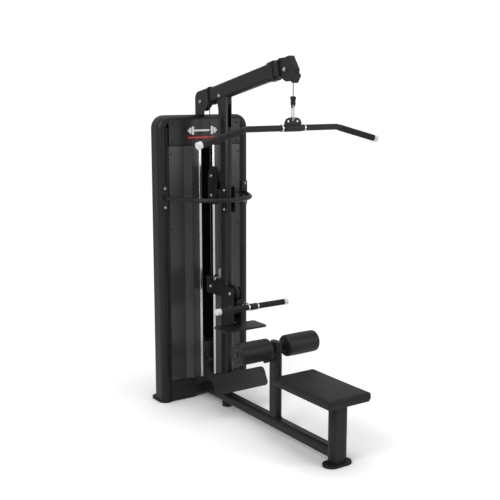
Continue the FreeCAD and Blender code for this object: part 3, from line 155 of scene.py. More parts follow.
def painted_edge_highlight(add, radius=0.0016):
    """Painted highlight: bright where the surface turns a corner, from a rounded normal against the true
    one.
    """
    rounded = add("Bevel", {"Radius": radius}, samples=4).outputs["Normal"]
    true = add("NewGeometry").outputs["Normal"]
    agree = add("VectorMath", {0: rounded, 1: true}, operation="DOT_PRODUCT").outputs["Value"]
    inputs = {"Value": agree, "From Min": 0.97, "From Max": 0.82}
    return add("MapRange", inputs, clamp=True).outputs["Result"]


def painted_steel(name, level, roughness, coat=0.0, gleam=0.30):
    """Powder coat: orange peel, cloudy gloss, and a painted highlight, in patches, on its edges."""
    material, shader, place, add, link = new_material(name, gleam)
    peel = noise(add, place, 420, 2)
    grain = noise(add, place, 2600, 1)
    clouds = noise(add, place, 9, 4)
    base = ramp(add, clouds, 0.3, 0.75, grey(level * 0.86), grey(level * 1.16))
    # painted highlight: the edges are lightened in patches towards 3.2 times the paint's level
    edge = painted_edge_highlight(add)
    speck = noise(add, place, 160, 3)
    patchy_highlight = add("Math", {0: edge, 1: speck}, operation="MULTIPLY").outputs["Value"]
    link(blend_colours(add, patchy_highlight, base, grey(level * 3.2)), "Base Color")
    link(remap(add, clouds, 0.3, 0.7, roughness - 0.05, roughness + 0.07), "Roughness")
    fine = bump(add, grain, 0.05, 0.0002)
    link(bump(add, peel, 0.12, 0.0006, fine), "Normal")
    shader.inputs["Coat Weight"].default_value = coat
    shader.inputs["Coat Roughness"].default_value = 0.22
    return material


def smoked_sheet(name):
    """Glossy smoked plastic: faint wipe marks and fine scratches in its gloss."""
    material, _, place, add, link = new_material(name, 0.45)
    clouds = noise(add, place, 4, 3)
    link(ramp(add, clouds, 0.3, 0.8, grey(0.026, 0.05), grey(0.040, 0.05)), "Base Color")
    stretched = add("Mapping", {"Vector": place, "Scale": (90, 90, 6)}).outputs["Vector"]
    streaks = noise(add, stretched, 12, 4)
    link(remap(add, streaks, 0.35, 0.75, 0.18, 0.32), "Roughness")
    link(bump(add, noise(add, place, 30, 2), 0.04, 0.0015), "Normal")
    return material


def brushed_metal(name, level, roughness, along=(30, 30, 900), tint=0.02):
    """Metal drawn or brushed one way, with slight tarnish."""
    material, shader, place, add, link = new_material(name)
    stretched = add("Mapping", {"Vector": place, "Scale": along}).outputs["Vector"]
    lines = noise(add, stretched, 6, 3)
    clouds = noise(add, place, 25, 3)
    link(ramp(add, clouds, 0.25, 0.8, grey(level * 0.86, tint), grey(level, tint)), "Base Color")
    link(remap(add, lines, 0.3, 0.7, roughness * 0.7, roughness * 1.5), "Roughness")
    link(bump(add, lines, 0.05, 0.0002), "Normal")
    shader.inputs["Metallic"].default_value = 1.0
    return material


def cast_iron(name):
    """Painted cast plates: pebbled skin with a dull, uneven sheen."""
    material, _, place, add, link = new_material(name, 0.35)
    pebbles = add("TexVoronoi", {"Vector": place, "Scale": 300}).outputs["Distance"]
    clouds = noise(add, place, 14, 4)
    link(ramp(add, clouds, 0.3, 0.8, grey(0.013), grey(0.024)), "Base Color")
    link(remap(add, pebbles, 0.0, 0.8, 0.42, 0.62), "Roughness")
    link(bump(add, pebbles, 0.25, 0.0006), "Normal")
    return material


def moulded(name, level, roughness, pores=700, strength=0.1, tint=0.0, colours=None):
    """Moulded plastic or rubber: spark-eroded grain and slight colour drift."""
    dark, light = colours or (grey(level * 0.85, tint), grey(level * 1.12, tint))
    material, _, place, add, link = new_material(name, 0.35)
    grain = noise(add, place, pores, 3, 0.65)
    clouds = noise(add, place, 18, 3)
    link(ramp(add, clouds, 0.3, 0.8, dark, light), "Base Color")
    link(remap(add, grain, 0.3, 0.7, roughness - 0.06, roughness + 0.08), "Roughness")
    link(bump(add, grain, strength, 0.0005), "Normal")
    return material


def leather(name, level=0.0080):
    """Grained synthetic leather: cells, pores between them darkened with painted shade, and a soft sheen."""
    material, _, place, add, link = new_material(name, 0.30)
    warp = add("Mapping", {"Vector": place, "Scale": (1, 0.85, 1)}).outputs["Vector"]
    cells = add("TexVoronoi", {"Vector": warp, "Scale": 520}, feature="DISTANCE_TO_EDGE")
    creases = ramp(add, cells.outputs["Distance"], 0.0, 0.12, grey(0.0), grey(1.0))
    small = noise(add, place, 1500, 2)
    clouds = noise(add, place, 7, 4)
    base = ramp(add, clouds, 0.25, 0.8, grey(level * 0.82), grey(level * 1.18))
    # painted shade: the creases between the cells are darkened to 0.55 of the leather's level
    link(blend_colours(add, creases, grey(level * 0.55), base), "Base Color")
    link(remap(add, creases, 0.0, 1.0, 0.62, 0.44), "Roughness")
    fine = bump(add, small, 0.08, 0.0003)
    link(bump(add, creases, 0.22, 0.0005, fine), "Normal")
    return material


def foam_skin(name, level=0.0095):
    """Dipped foam: a smooth vinyl skin with pin pores and faint ripples."""
    material, _, place, add, link = new_material(name, 0.32)
    pores = add("TexVoronoi", {"Vector": place, "Scale": 900}).outputs["Distance"]
    dots = ramp(add, pores, 0.05, 0.22, grey(0.0), grey(1.0))
    ripples = noise(add, place, 60, 3)
    clouds = noise(add, place, 11, 3)
    link(ramp(add, clouds, 0.3, 0.8, grey(level * 0.85), grey(level * 1.15)), "Base Color")
    link(remap(add, ripples, 0.3, 0.7, 0.38, 0.52), "Roughness")
    fine = bump(add, dots, 0.10, 0.0003)
    link(bump(add, ripples, 0.10, 0.0012, fine), "Normal")
    return material


PAINT = painted_steel("black_powder_coat", 0.0115, 0.40)
BAR_PAINT = painted_steel("bar_paint", 0.011, 0.42)
PLATE_PAINT = painted_steel("plate_lacquer", 0.011, 0.30, 0.10)
SMOKED = smoked_sheet("smoked_panel")
TRIM = brushed_metal("satin_aluminium", 0.72, 0.24)
CHROME = brushed_metal("polished_chrome", 0.80, 0.10, (200, 200, 200), 0.03)
ZINC = brushed_metal("zinc_plate", 0.42, 0.22, (200, 200, 200), 0.03)
ROD_STEEL = brushed_metal("ground_rod", 0.70, 0.16, (700, 700, 20))
CABLE_STEEL = brushed_metal("wire_rope", 0.26, 0.42, (300, 300, 300))
IRON = cast_iron("cast_iron_paint")
GUARD = moulded("guard_plastic", 0.012, 0.50)
NYLON = moulded("pulley_nylon", 0.013, 0.44, 500, 0.06)
RUBBER = moulded("black_rubber", 0.010, 0.66, 900, 0.22)
WHITE_CAP = moulded("white_plastic", 0.74, 0.38, 600, 0.05, 0.01)
COATING = moulded("cable_coating", 0.016, 0.38, 1200, 0.04)
LEATHER = leather("seat_leather")
THREAD = moulded("seam_thread", 0.030, 0.55, 2500, 0.3)
FOAM = foam_skin("roller_foam")
REDS = ((0.50, 0.012, 0.012, 1), (0.66, 0.022, 0.020, 1))
SIGN_RED = moulded("sign_red", 0.30, 0.30, 900, 0.03, colours=REDS)


# ---------------------------------------------------------------- pieces in mesh code
def piece(name, mesh, material, body, smooth=True):
    """Turn a bmesh into a named piece that rides on a body."""
    data = bpy.data.meshes.new(name)
    bmesh.ops.recalc_face_normals(mesh, faces=mesh.faces)
    mesh.to_mesh(data)
    mesh.free()
    thing = bpy.data.objects.new(name, data)
    bpy.context.scene.collection.objects.link(thing)
    data.materials.append(material)
    for face in data.polygons:
        face.use_smooth = smooth
    if body is not None:
        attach(thing, body)
    return thing


def frame_of(axis):
    """Two directions across an axis."""
    axis = axis.normalized()
    side = axis.cross(Z) if abs(axis.z) < 0.9 else axis.cross(X)
    side.normalize()
    return side, axis.cross(side)


def ring_points(centre, side, up, radius, count):
    """Points once round a centre."""
    turns = (2 * math.pi * k / count for k in range(count))
    return [centre + (side * math.cos(turn) + up * math.sin(turn)) * radius for turn in turns]


def join_rings(mesh, one, two):
    """Quads between two rings of as many points."""
    for k in range(len(one)):
        following = (k + 1) % len(one)
        mesh.faces.new((one[k], one[following], two[following], two[k]))


def cap_ends(mesh, rings):
    mesh.faces.new(rings[0][::-1])
    mesh.faces.new(rings[-1])


def add_turned(mesh, profile, centre, axis, count=48, lobes=None):
    """Spin (along, radius) points about an axis through a centre; lobes shapes the radius by angle."""
    side, up = frame_of(axis)
    axis = axis.normalized()
    rings = []
    for along, radius in profile:
        if radius < 1e-7:
            rings.append([mesh.verts.new(centre + axis * along)])
            continue
        ring = []
        for step in range(count):
            angle = 2 * math.pi * step / count
            reach = radius * (lobes(angle, along) if lobes else 1.0)
            around = side * math.cos(angle) + up * math.sin(angle)
            ring.append(mesh.verts.new(centre + axis * along + around * reach))
        rings.append(ring)
    for one, two in zip(rings, rings[1:]):
        if len(one) == len(two):
            join_rings(mesh, one, two)
            continue
        for step in range(count):
            following = (step + 1) % count
            if len(one) == 1:
                mesh.faces.new((one[0], two[following], two[step]))
            else:
                mesh.faces.new((one[step], one[following], two[0]))


def rounded_profile(start, end, radius, edge, inner=0.0, steps=5):
    """(along, radius) points of a drum with rounded edges, hollow if inner is set."""
    points = [(start, inner)]
    for step in range(steps + 1):
        turn = math.pi / 2 * step / steps
        points.append((start + edge - edge * math.cos(turn), radius - edge + edge * math.sin(turn)))
    for step in range(steps + 1):
        turn = math.pi / 2 * step / steps
        points.append((end - edge + edge * math.sin(turn), radius - edge + edge * math.cos(turn)))
    points.append((end, inner))
    if inner > 0:
        points.append((start, inner))
    return points


def finish_node(name, material, edge=0.0011, segments=2, angle=32):
    """Give a CAD node its material and break its sharp edges."""
    node = NODES[name]
    for index in range(len(node.material_slots)):
        node.material_slots[index].material = material
    if not node.material_slots:
        node.data.materials.append(material)
    weld = node.modifiers.new("weld", "WELD")
    weld.merge_threshold = 0.00001
    if edge:
        bevel = node.modifiers.new("broken_edges", "BEVEL")
        bevel.width = edge
        bevel.segments = segments
        bevel.limit_method = "ANGLE"
        bevel.angle_limit = math.radians(angle)
        bevel.use_clamp_overlap = True
        bevel.harden_normals = True
    return node


PAINTED = (
    "tower_frame", "tower_crossmembers", "kick_panels", "mast", "boom", "rear_bracket", "head_housing",
    "base_beam", "front_leg", "foot_plate", "shelf", "low_pulley_bracket", "hoop_rail", "seat_rail",
    "thigh_post", "floating_block", "hold_down_stem", "rear_cover",
)
for name in PAINTED:
    finish_node(name, PAINT)
for name in ("lat_bar", "row_bar", "row_eye_plate"):
    finish_node(name, BAR_PAINT, 0.0006)
finish_node("name_plate", PLATE_PAINT, 0.0012, 3)
for name in ("shield_left", "shield_right"):
    finish_node(name, SMOKED, 0.0008)
finish_node("slot_trims", TRIM, 0.0005)
finish_node("guide_rods", ROD_STEEL, 0.0)
for name in ("resting_plates", "lifted_plates"):
    finish_node(name, IRON, 0.0012)
finish_node("stack_head", IRON, 0.0010)
for name in ("lat_snap_link", "row_snap_link"):
    finish_node(name, CHROME, 0.0006)
finish_node("lat_swivel_eye", RUBBER, 0.0006)
finish_node("fasteners", ZINC, 0.0006)
finish_node("pop_pin", GUARD, 0.0008)
finish_node("selector_pin", GUARD, 0.0008)
finish_node("head_guard", GUARD, 0.0008)
for name in ("front", "middle", "rear", "block_upper", "block_lower", "low_rear"):
    finish_node(name + "_pulley", NYLON, 0.0005)
for name in ("row_guide_upper", "row_guide_lower"):
    finish_node(name, NYLON, 0.0005)
finish_node("rubber_feet", RUBBER, 0.0025, 3)
for name in ("lat_bar_caps", "row_bar_caps"):
    finish_node(name, WHITE_CAP, 0.0022, 4)


# ---------------------------------------------------------------- seat cushion
def stepped(count, bias=0.72):
    """Shares from -1 to 1, closer together near both ends."""
    return [math.sin(math.pi / 2 * (2 * k / count - 1)) * bias + (2 * k / count - 1) * (1 - bias)
            for k in range(count + 1)]


class Cushion:
    """A crowned cushion with a rounded plan, rolled edges and sides that pull in between the corners."""

    def __init__(self, low_corner, high_corner, corner, edge, crown):
        self.centre = (low_corner + high_corner) / 2
        self.reach = (high_corner - low_corner) / 2
        self.base, self.top = low_corner.z, high_corner.z
        self.corner, self.edge, self.crown = corner, edge, crown
        self.across, self.along = stepped(22), stepped(40)

    def plan(self, inset, u, v):
        """The point for shares u and v of the plan, drawn in by an inset."""
        wide, deep = self.reach.x - inset, self.reach.y - inset
        r = max(self.corner - inset, 0.003)
        x, y = abs(u) * wide, abs(v) * deep
        over_x, over_y = max(x - wide + r, 0), max(y - deep + r, 0)
        if over_x and over_y:
            x += over_x * (math.sqrt(1 - over_y ** 2 / (2 * r * r)) - 1)
            y += over_y * (math.sqrt(1 - over_x ** 2 / (2 * r * r)) - 1)
        pull_across, pull_along = 0.0022, 0.0030
        x -= pull_across * (1 - v * v) * abs(u) ** 8
        y -= pull_along * (1 - u * u) * abs(v) ** 8
        return self.centre.x + math.copysign(x, u), self.centre.y + math.copysign(y, v)

    def border(self):
        """Shares once round the plan."""
        us, vs = self.across, self.along
        return ([(1, v) for v in vs[:-1]] + [(u, 1) for u in us[:0:-1]]
                + [(-1, v) for v in vs[:0:-1]] + [(u, -1) for u in us[:-1]])

    def height(self, u, v):
        """Crown of the top: nearly flat in the middle, falling towards the edge."""
        fall = 1 - (1 - abs(u) ** 3.0) * (1 - abs(v) ** 4.0)
        rumple = 0.0004 * math.sin(7 * u + 2 * v) * math.sin(5 * v - u) * (1 - fall)
        return self.top - self.crown * fall + rumple

    def build(self, mesh):
        ring = self.border()
        levels = [(0.0012, self.base), (0.0002, self.base + 0.0015)]
        height = self.top - self.crown - self.edge - self.base
        for share in (0.2, 0.45, 0.7, 0.9):
            levels.append((-0.0014 * math.sin(math.pi * share), self.base + height * share))
        rim = self.top - self.crown
        steps = 6
        for step in range(steps):
            turn = math.pi / 2 * step / steps
            levels.append((self.edge * (1 - math.cos(turn)), rim - self.edge * (1 - math.sin(turn))))
        loops = []
        for inset, rise in levels:
            loops.append([mesh.verts.new((*self.plan(inset, u, v), rise)) for u, v in ring])
        grid = {}
        for u in self.across:
            for v in self.along:
                grid[u, v] = mesh.verts.new((*self.plan(self.edge, u, v), self.height(u, v)))
        us, vs = self.across, self.along
        ends = {1: -1, -1: 0}
        loops.append([
            grid[us[ends[u]] if u in ends else u, vs[ends[v]] if v in ends else v] for u, v in ring
        ])
        for one, two in zip(loops, loops[1:]):
            join_rings(mesh, one, two)
        for i in range(len(us) - 1):
            for j in range(len(vs) - 1):
                mesh.faces.new((grid[us[i], vs[j]], grid[us[i + 1], vs[j]],
                                grid[us[i + 1], vs[j + 1]], grid[us[i], vs[j + 1]]))
        mesh.faces.new(loops[0][::-1])


def add_tube(mesh, points, radius, sides=8, closed=False):
    """A round tube through points."""
    rings = []
    count = len(points)
    previous_side = None
    for index, point in enumerate(points):
        before = points[index - 1] if index or closed else point
        after = points[(index + 1) % count] if index + 1 < count or closed else point
        along = (after - before).normalized()
        if previous_side is None:
            side, _ = frame_of(along)
        else:
            side = (previous_side - along * previous_side.dot(along)).normalized()
        up = along.cross(side)
        previous_side = side
        rings.append([mesh.verts.new(spot) for spot in ring_points(point, side, up, radius, sides)])
    for one, two in zip(rings, rings[1:] + rings[:1] if closed else rings[1:]):
        join_rings(mesh, one, two)
    if not closed:
        cap_ends(mesh, rings)


def make_seat():
    """Cushion, piping, stitches and board of the seat."""
    pad_low, pad_high = low("seat_pad"), high("seat_pad")
    board = 0.010   # plywood under the cushion
    lift = 0.003    # the crown stands this far over the CAD pad
    shape = Cushion(pad_low + Z * board, pad_high + Z * lift, corner=0.010, edge=0.008, crown=0.005)
    mesh = bmesh.new()
    shape.build(mesh)
    cushion = piece("seat_cushion", mesh, LEATHER, "frame")
    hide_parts("seat_pad")

    ring = shape.border()
    rim = shape.top - shape.crown
    mesh = bmesh.new()
    seam = [Vector((*shape.plan(0.0016, u, v), rim - 0.0030)) for u, v in ring]
    add_tube(mesh, seam, 0.0019, 8, closed=True)
    piping = piece("seat_piping", mesh, LEATHER, "frame")

    mesh = bmesh.new()
    inset, pitch, shortest, thread = 0.0125, 0.0042, 0.0015, 0.00045
    line = spread([Vector((*shape.plan(inset, u, v), rim + 0.0006)) for u, v in ring + ring[:1]], pitch)
    for one, two in zip(line, line[1:]):
        if (two - one).length > shortest:
            stitch = [one.lerp(two, 0.12), one.lerp(two, 0.5) + Z * 0.0003, one.lerp(two, 0.88)]
            add_tube(mesh, stitch, thread, 5)
    piece("seat_stitches", mesh, THREAD, "frame")

    mesh = bmesh.new()
    bmesh.ops.create_cube(mesh, size=1.0)
    span = pad_high - pad_low
    centre = (pad_high + pad_low) / 2
    inside, clear = 0.007, 0.0003
    bmesh.ops.scale(mesh, verts=mesh.verts, vec=(span.x - inside, span.y - inside, board))
    bmesh.ops.translate(mesh, verts=mesh.verts, vec=(0, centre.y, pad_low.z + board / 2 + clear))
    uprights = [edge for edge in mesh.edges if abs(edge.verts[0].co.z - edge.verts[1].co.z) > board / 2]
    bmesh.ops.bevel(mesh, geom=uprights, offset=0.011, segments=8, affect="EDGES", profile=0.5)
    board_piece = piece("seat_board", mesh, GUARD, "frame", smooth=False)
    rim_edge = board_piece.modifiers.new("rim", "BEVEL")
    rim_edge.width = 0.0015
    rim_edge.segments = 3


def spread(points, step=0.005):
    """Fill long gaps in a route with evenly spaced points."""
    filled = []
    for one, two in zip(points, points[1:]):
        count = max(1, int((two - one).length / step))
        filled += [one.lerp(two, (k + 1) / count) for k in range(count)]
    return filled


make_seat()


# ---------------------------------------------------------------- foam rollers
def make_roller(node):
    """A foam roller with a dished hub disc at each end."""
    start, end = low(node), high(node)
    centre = (start + end) / 2
    half = (end.x - start.x) / 2
    radius = (end.z - start.z) / 2
    bore = 0.0125                # the cross shaft's
    dish, disc, lip = 0.006, 0.040, 0.046   # depth of the hub's recess, and its radii
    profile = [(-half + dish, bore), (-half + dish, disc), (-half + 0.002, 0.0425), (-half, lip)]
    edge = 0.013                 # radius of the foam's rim
    for step in range(0, 9):
        turn = math.pi / 2 * step / 8
        profile.append((-half + edge - edge * math.cos(turn), radius - edge + edge * math.sin(turn)))
    for share in (0.12, 0.3, 0.5, 0.7, 0.88):
        swell = 0.0012 * math.sin(math.pi * share)
        profile.append((-half + edge + (2 * half - 2 * edge) * share, radius + swell))
    for step in range(8, -1, -1):
        turn = math.pi / 2 * step / 8
        profile.append((half - edge + edge * math.cos(turn), radius - edge + edge * math.sin(turn)))
    profile += [(half, lip), (half - 0.002, 0.0425), (half - dish, disc), (half - dish, bore)]
    mesh = bmesh.new()
    phase = random.uniform(0, 6)

    def uneven(angle, along):
        """Foam is never quite round."""
        slow = 0.0035 * math.sin(2 * angle + phase + along * 9)
        return 1 + slow + 0.002 * math.sin(5 * angle - along * 23)

    add_turned(mesh, profile, centre, X, 96, uneven)
    foam = piece(node + "_foam", mesh, FOAM, node)
    subdivide = foam.modifiers.new("smooth", "SUBSURF")
    subdivide.levels = subdivide.render_levels = 1
    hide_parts(node)

    mesh = bmesh.new()
    for side in (-1, 1):
        at = centre + X * side * (half - 0.0065)
        add_turned(mesh, rounded_profile(-0.0010, 0.0058, 0.0395, 0.0018, bore), at, X * side, 64)
        add_turned(mesh, rounded_profile(0.0050, 0.0085, 0.0200, 0.0012, bore), at, X * side, 48)
    piece(node + "_hub_discs", mesh, NYLON, node)


for roller in ("roller_left", "roller_right"):
    make_roller(roller)


# ---------------------------------------------------------------- cables
ROPE_RADIUS = size("lat_cable_drop").x / 2


def rope_section(mesh, points, radius, lay=0.028, strands=6, sides=24):
    """A laid wire rope through points: its strands are ridges that wind round it."""
    depth = 0.10    # of the grooves between strands, as a share of the radius
    rings = []
    travelled = 0.0
    side = None
    for index, point in enumerate(points):
        before = points[max(index - 1, 0)]
        after = points[min(index + 1, len(points) - 1)]
        along = (after - before).normalized()
        if side is None:
            side, _ = frame_of(along)
        else:
            side = (side - along * side.dot(along)).normalized()
        up = along.cross(side)
        if index:
            travelled += (point - points[index - 1]).length
        turn = 2 * math.pi * travelled / lay
        ring = []
        for k in range(sides):
            angle = 2 * math.pi * k / sides
            ridge = radius * (1 - depth + depth * abs(math.cos(strands / 2 * (angle - turn))))
            ring.append(mesh.verts.new(point + (side * math.cos(angle) + up * math.sin(angle)) * ridge))
        rings.append(ring)
    for one, two in zip(rings, rings[1:]):
        join_rings(mesh, one, two)
    cap_ends(mesh, rings)


def run(start, end, step=0.004):
    """Evenly spaced points on a straight run."""
    count = max(2, int((end - start).length / step))
    return [start.lerp(end, k / count) for k in range(count + 1)]


def wrap(centre, radius, start, end, step=0.004):
    """Points round a pulley in the centre plane, from one angle to another; 0 is towards the tower."""
    count = max(4, int(abs(math.radians(end - start)) * radius / step))
    angles = [math.radians(start + (end - start) * k / count) for k in range(count + 1)]
    return [centre + Vector((0, math.cos(a), math.sin(a))) * radius for a in angles]


def rope(name, points, material, node):
    """A rope through points, one after another without doubles, with an even lay."""
    clean = [points[0]]
    for point in points[1:]:
        if (point - clean[-1]).length > 0.0008:
            clean.append(point)
    mesh = bmesh.new()
    rope_section(mesh, clean, ROPE_RADIUS)
    thing = piece(name, mesh, material, None)
    if node:
        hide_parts(node)
    return thing


PULLEYS = {name: middle(name + "_pulley") for name in (
    "front", "middle", "rear", "block_upper", "block_lower", "low_rear",
)}
BAR_CABLE_DEPTH = middle("lat_cable_drop").y
WRAP = PULLEYS["front"].y - BAR_CABLE_DEPTH     # radius of the cable round a pulley


def drawn_rope(name, points, material, node, body, start, end):
    """A rope between the frame and a body that moves away from it."""
    thing = rope(name, points, material, node)
    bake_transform(thing)


def make_cables():
    """Both cables: the runs that move are built once where they stand, tied to no body; the others ride on
    the frame.
    """
    front, mid, rear, upper, lower, floor = PULLEYS.values()
    for centre in PULLEYS.values():
        centre.x = 0

    drop = [Vector((0, BAR_CABLE_DEPTH, end("lat_cable_drop").z)) for end in (high, low)]
    drawn_rope("lat_rope_drop", run(*drop), CABLE_STEEL, "lat_cable_drop", "lat_cable_end", *drop)

    stack_depth = middle("lat_cable_stack").y
    lift = [Vector((0, stack_depth, end("lat_cable_stack").z)) for end in (high, low)]
    drawn_rope("lat_rope_stack", run(*lift, 0.008), COATING, "lat_cable_stack", "stack", *lift)

    lean = math.degrees(math.atan2(front.z - mid.z, mid.y - front.y))
    over_boom = wrap(front, WRAP, 180, 90 - lean) + wrap(mid, WRAP, 90 - lean, 0)
    near = rope("lat_rope_boom", over_boom[:1] + spread(over_boom), COATING, "guided_cables")
    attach(near, "frame")
    over_rear = rope("lat_rope_rear", wrap(rear, WRAP, 180, 0), COATING, None)
    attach(over_rear, "frame")
    row_high = low("guided_cables").z + ROPE_RADIUS
    row_front = high("row_cable_front").y
    under = run(Vector((0, row_front, row_high)), Vector((0, floor.y, row_high)))
    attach(rope("row_rope_mast", under + wrap(floor, WRAP, 270, 360), COATING, None), "frame")

    down = run(Vector((0, upper.y - WRAP, mid.z)), Vector((0, upper.y - WRAP, upper.z)), 0.006)
    up = run(Vector((0, upper.y + WRAP, upper.z)), Vector((0, upper.y + WRAP, rear.z)), 0.006)
    drawn_rope("lat_rope_block", down + wrap(upper, WRAP, 180, 360) + up, COATING, "lat_cable_block",
               "floating_block", (0, upper.y, rear.z), (0, upper.y, upper.z))

    rise = run(Vector((0, lower.y + WRAP, floor.z)), Vector((0, lower.y + WRAP, lower.z)), 0.006)
    fall = run(Vector((0, lower.y - WRAP, lower.z)), Vector((0, lower.y - WRAP, ANCHOR_TOP)), 0.006)
    drawn_rope("row_rope_block", rise + wrap(lower, WRAP, 0, 180) + fall, COATING, "row_cable_block",
               "floating_block", (0, lower.y, ANCHOR_TOP), (0, lower.y, lower.z))

    pull = [(0, depth, row_high) for depth in (row_front, low("row_cable_front").y)]
    drawn_rope("row_rope_front", run(*map(Vector, pull)), COATING, "row_cable_front", "row_handle", *pull)


make_cables()


# ---------------------------------------------------------------- grips, hanger plate and ball stops
def ribs(start, stop, pitch, ridge, groove, widths):
    """Profile points of ribs from start to stop; widths are where each groove's floor and rise end."""
    points = []
    while start < stop:
        floor_start, floor_end, rise_end = (start + width for width in widths)
        points += [(start, ridge), (floor_start, groove), (floor_end, groove), (rise_end, ridge)]
        start += pitch
    return points


def make_grips():
    """Ribbed rubber sleeves on the bar's dropped ends."""
    bar_low, bar_high = low("lat_bar_grips"), high("lat_bar_grips")
    depth = (bar_low.y + bar_high.y) / 2
    radius = (bar_high.y - bar_low.y) / 2
    top, bottom = bar_high.z, bar_low.z
    rise, reach = radius * math.cos(BAR_SLOPE), radius * math.sin(BAR_SLOPE)
    for side, label in ((-1, "left"), (1, "right")):
        outer = Vector((side * (bar_high.x - reach), depth, bottom + rise))
        span = (top - bottom - 2 * rise) / math.sin(BAR_SLOPE)
        direction = Vector((-side * math.cos(BAR_SLOPE), 0, math.sin(BAR_SLOPE)))
        ridge, groove, inside = radius + 0.0006, radius - 0.0004, radius - 0.0028
        profile = [(0.0, inside), (0.0, groove), (0.0012, ridge), (0.006, ridge)]
        profile += ribs(0.008, span - 0.010, 0.0065, ridge, groove, (0.0006, 0.0016, 0.0022))
        profile += [(span - 0.0012, ridge), (span, groove), (span, inside)]
        mesh = bmesh.new()
        add_turned(mesh, profile, outer, direction, 40)
        grip = piece("lat_grip_" + label, mesh, RUBBER, "lat_bar")
        if side < 0:
            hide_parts("lat_bar_grips")


def make_row_grips():
    """Finely ribbed sleeves and polished rings on the row bar."""
    bar_low, bar_high = low("row_bar"), high("row_bar")
    centre = (bar_low + bar_high) / 2
    radius = (bar_high.z - bar_low.z) / 2 + 0.0009
    ring_out = high("row_eye_plate").x
    inner = ring_out + 0.0055
    outer = bar_high.x - 0.0006
    sleeves, rings = bmesh.new(), bmesh.new()
    for side in (-1, 1):
        profile = [(inner, radius - 0.0022), (inner, radius - 0.0005), (inner + 0.001, radius)]
        grooves = (0.0005, 0.0014, 0.0019)
        profile += ribs(inner + 0.004, outer - 0.006, 0.0062, radius, radius - 0.0008, grooves)
        profile += [(outer - 0.001, radius), (outer, radius - 0.0005), (outer, radius - 0.0022)]
        add_turned(sleeves, profile, Vector((0, centre.y, centre.z)), X * side, 40)
        ends = (ring_out - 0.0088, ring_out + 0.0004)
        band = rounded_profile(*ends, radius + 0.0024, 0.0016, radius - 0.001)
        add_turned(rings, band, Vector((0, centre.y, centre.z)), X * side, 48)
    piece("row_grips", sleeves, RUBBER, "row_handle")
    piece("row_rings", rings, CHROME, "row_handle")


make_grips()
make_row_grips()


def make_hanger():
    """Humped plate with three holes on the bar's sleeve, between two polished rings."""
    axis = Vector((0, middle("lat_bar").y, high("lat_bar").z - BAR_RADIUS))
    thick, reach, foot, tall = 0.006, 0.058, 0.010, 0.048
    holes = ((0, 0.046, 0.0075), (-0.031, 0.037, 0.0068), (0.031, 0.037, 0.0068))   # x, z, radius
    hump = []
    for turn in (math.pi * step / 40 for step in range(41)):
        across = math.copysign(reach * abs(math.cos(turn)) ** 0.60, math.cos(turn))
        hump.append((across, foot + tall * math.sin(turn) ** 0.75))
    loops = [hump]
    for across, rise, hole in holes:
        loops.append([(across + hole * math.cos(turn), rise + hole * math.sin(turn))
                      for turn in (2 * math.pi * step / 20 for step in range(20))])
    mesh = bmesh.new()
    for loop in loops:
        points = [mesh.verts.new(axis + Vector((x, -thick / 2, z))) for x, z in loop]
        for one, two in zip(points, points[1:] + points[:1]):
            mesh.edges.new((one, two))
    bmesh.ops.triangle_fill(mesh, use_beauty=True, edges=mesh.edges[:], normal=(0, -1, 0))
    grown = bmesh.ops.extrude_face_region(mesh, geom=mesh.faces[:])["geom"]
    moved = [item for item in grown if isinstance(item, bmesh.types.BMVert)]
    bmesh.ops.translate(mesh, verts=moved, vec=Y * thick)
    plate = piece("lat_hanger_plate", mesh, BAR_PAINT, "lat_bar", smooth=False)
    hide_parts("lat_hanger")

    sleeve_end, sleeve_radius = 0.056, 0.0202
    mesh = bmesh.new()
    sleeve = rounded_profile(-sleeve_end, sleeve_end, sleeve_radius, 0.0020, BAR_RADIUS)
    add_turned(mesh, sleeve, axis, X, 56)
    piece("lat_hanger_sleeve", mesh, BAR_PAINT, "lat_bar")
    ring_start, ring_end, ring_radius = 0.071, 0.080, 0.0205
    mesh = bmesh.new()
    for side in (-1, 1):
        ring = rounded_profile(ring_start, ring_end, ring_radius, 0.0018, BAR_RADIUS)
        add_turned(mesh, ring, axis, X * side, 56)
    piece("lat_rings", mesh, CHROME, "lat_bar")


make_hanger()


def make_ball_stops():
    """The lat cable's bell-shaped rubber stop; the row cable's stop keeps the CAD's shape."""
    ball_low, ball_high = low("lat_ball_stop"), high("lat_ball_stop")
    centre = (ball_low + ball_high) / 2
    height = ball_high.z - ball_low.z
    radius = (ball_high.x - ball_low.x) / 2
    profile = [
        (0, 0.004), (0, 0.010), (-0.002, radius * 0.80), (-0.006, radius * 0.96), (-0.011, radius),
        (-0.0145, radius * 0.97), (-0.0165, radius * 0.86), (-0.019, radius * 0.84),
        (-height + 0.006, radius * 0.84), (-height + 0.002, radius * 0.81), (-height, radius * 0.74),
        (-height, 0.004),
    ]
    mesh = bmesh.new()
    add_turned(mesh, profile, Vector((centre.x, centre.y, ball_high.z)), Z, 48)
    stop = piece("lat_stop_bell", mesh, RUBBER, "lat_cable_end")
    subdivide = stop.modifiers.new("smooth", "SUBSURF")
    subdivide.levels = subdivide.render_levels = 1
    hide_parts("lat_ball_stop")
    finish_node("row_ball_stop", RUBBER, 0.0006)


make_ball_stops()


# ---------------------------------------------------------------- bolt heads, welds, seals and sign
def add_dome_bolt(mesh, at, out, radius, height=0.0045):
    """A domed head with a hexagon socket, on a thin washer."""
    washer, thick = radius * 1.25, 0.0016
    add_turned(mesh, [
        (0.0, washer - 0.0006), (0.0004, washer), (0.0012, washer), (thick, washer - 0.0006),
        (thick, radius), (0.0022, radius), (thick + height * 0.45, radius * 0.94),
        (thick + height * 0.8, radius * 0.74), (thick + height, radius * 0.50),
        (thick + height, radius * 0.42), (thick + height * 0.45, radius * 0.40), (thick + height * 0.4, 0.0),
    ], at, out, 36)


def evenly(bottom, top, margin, count):
    """Heights spaced evenly between a bottom and a top, with a margin at each."""
    return [bottom + margin + (top - bottom - 2 * margin) * step / (count - 1) for step in range(count)]


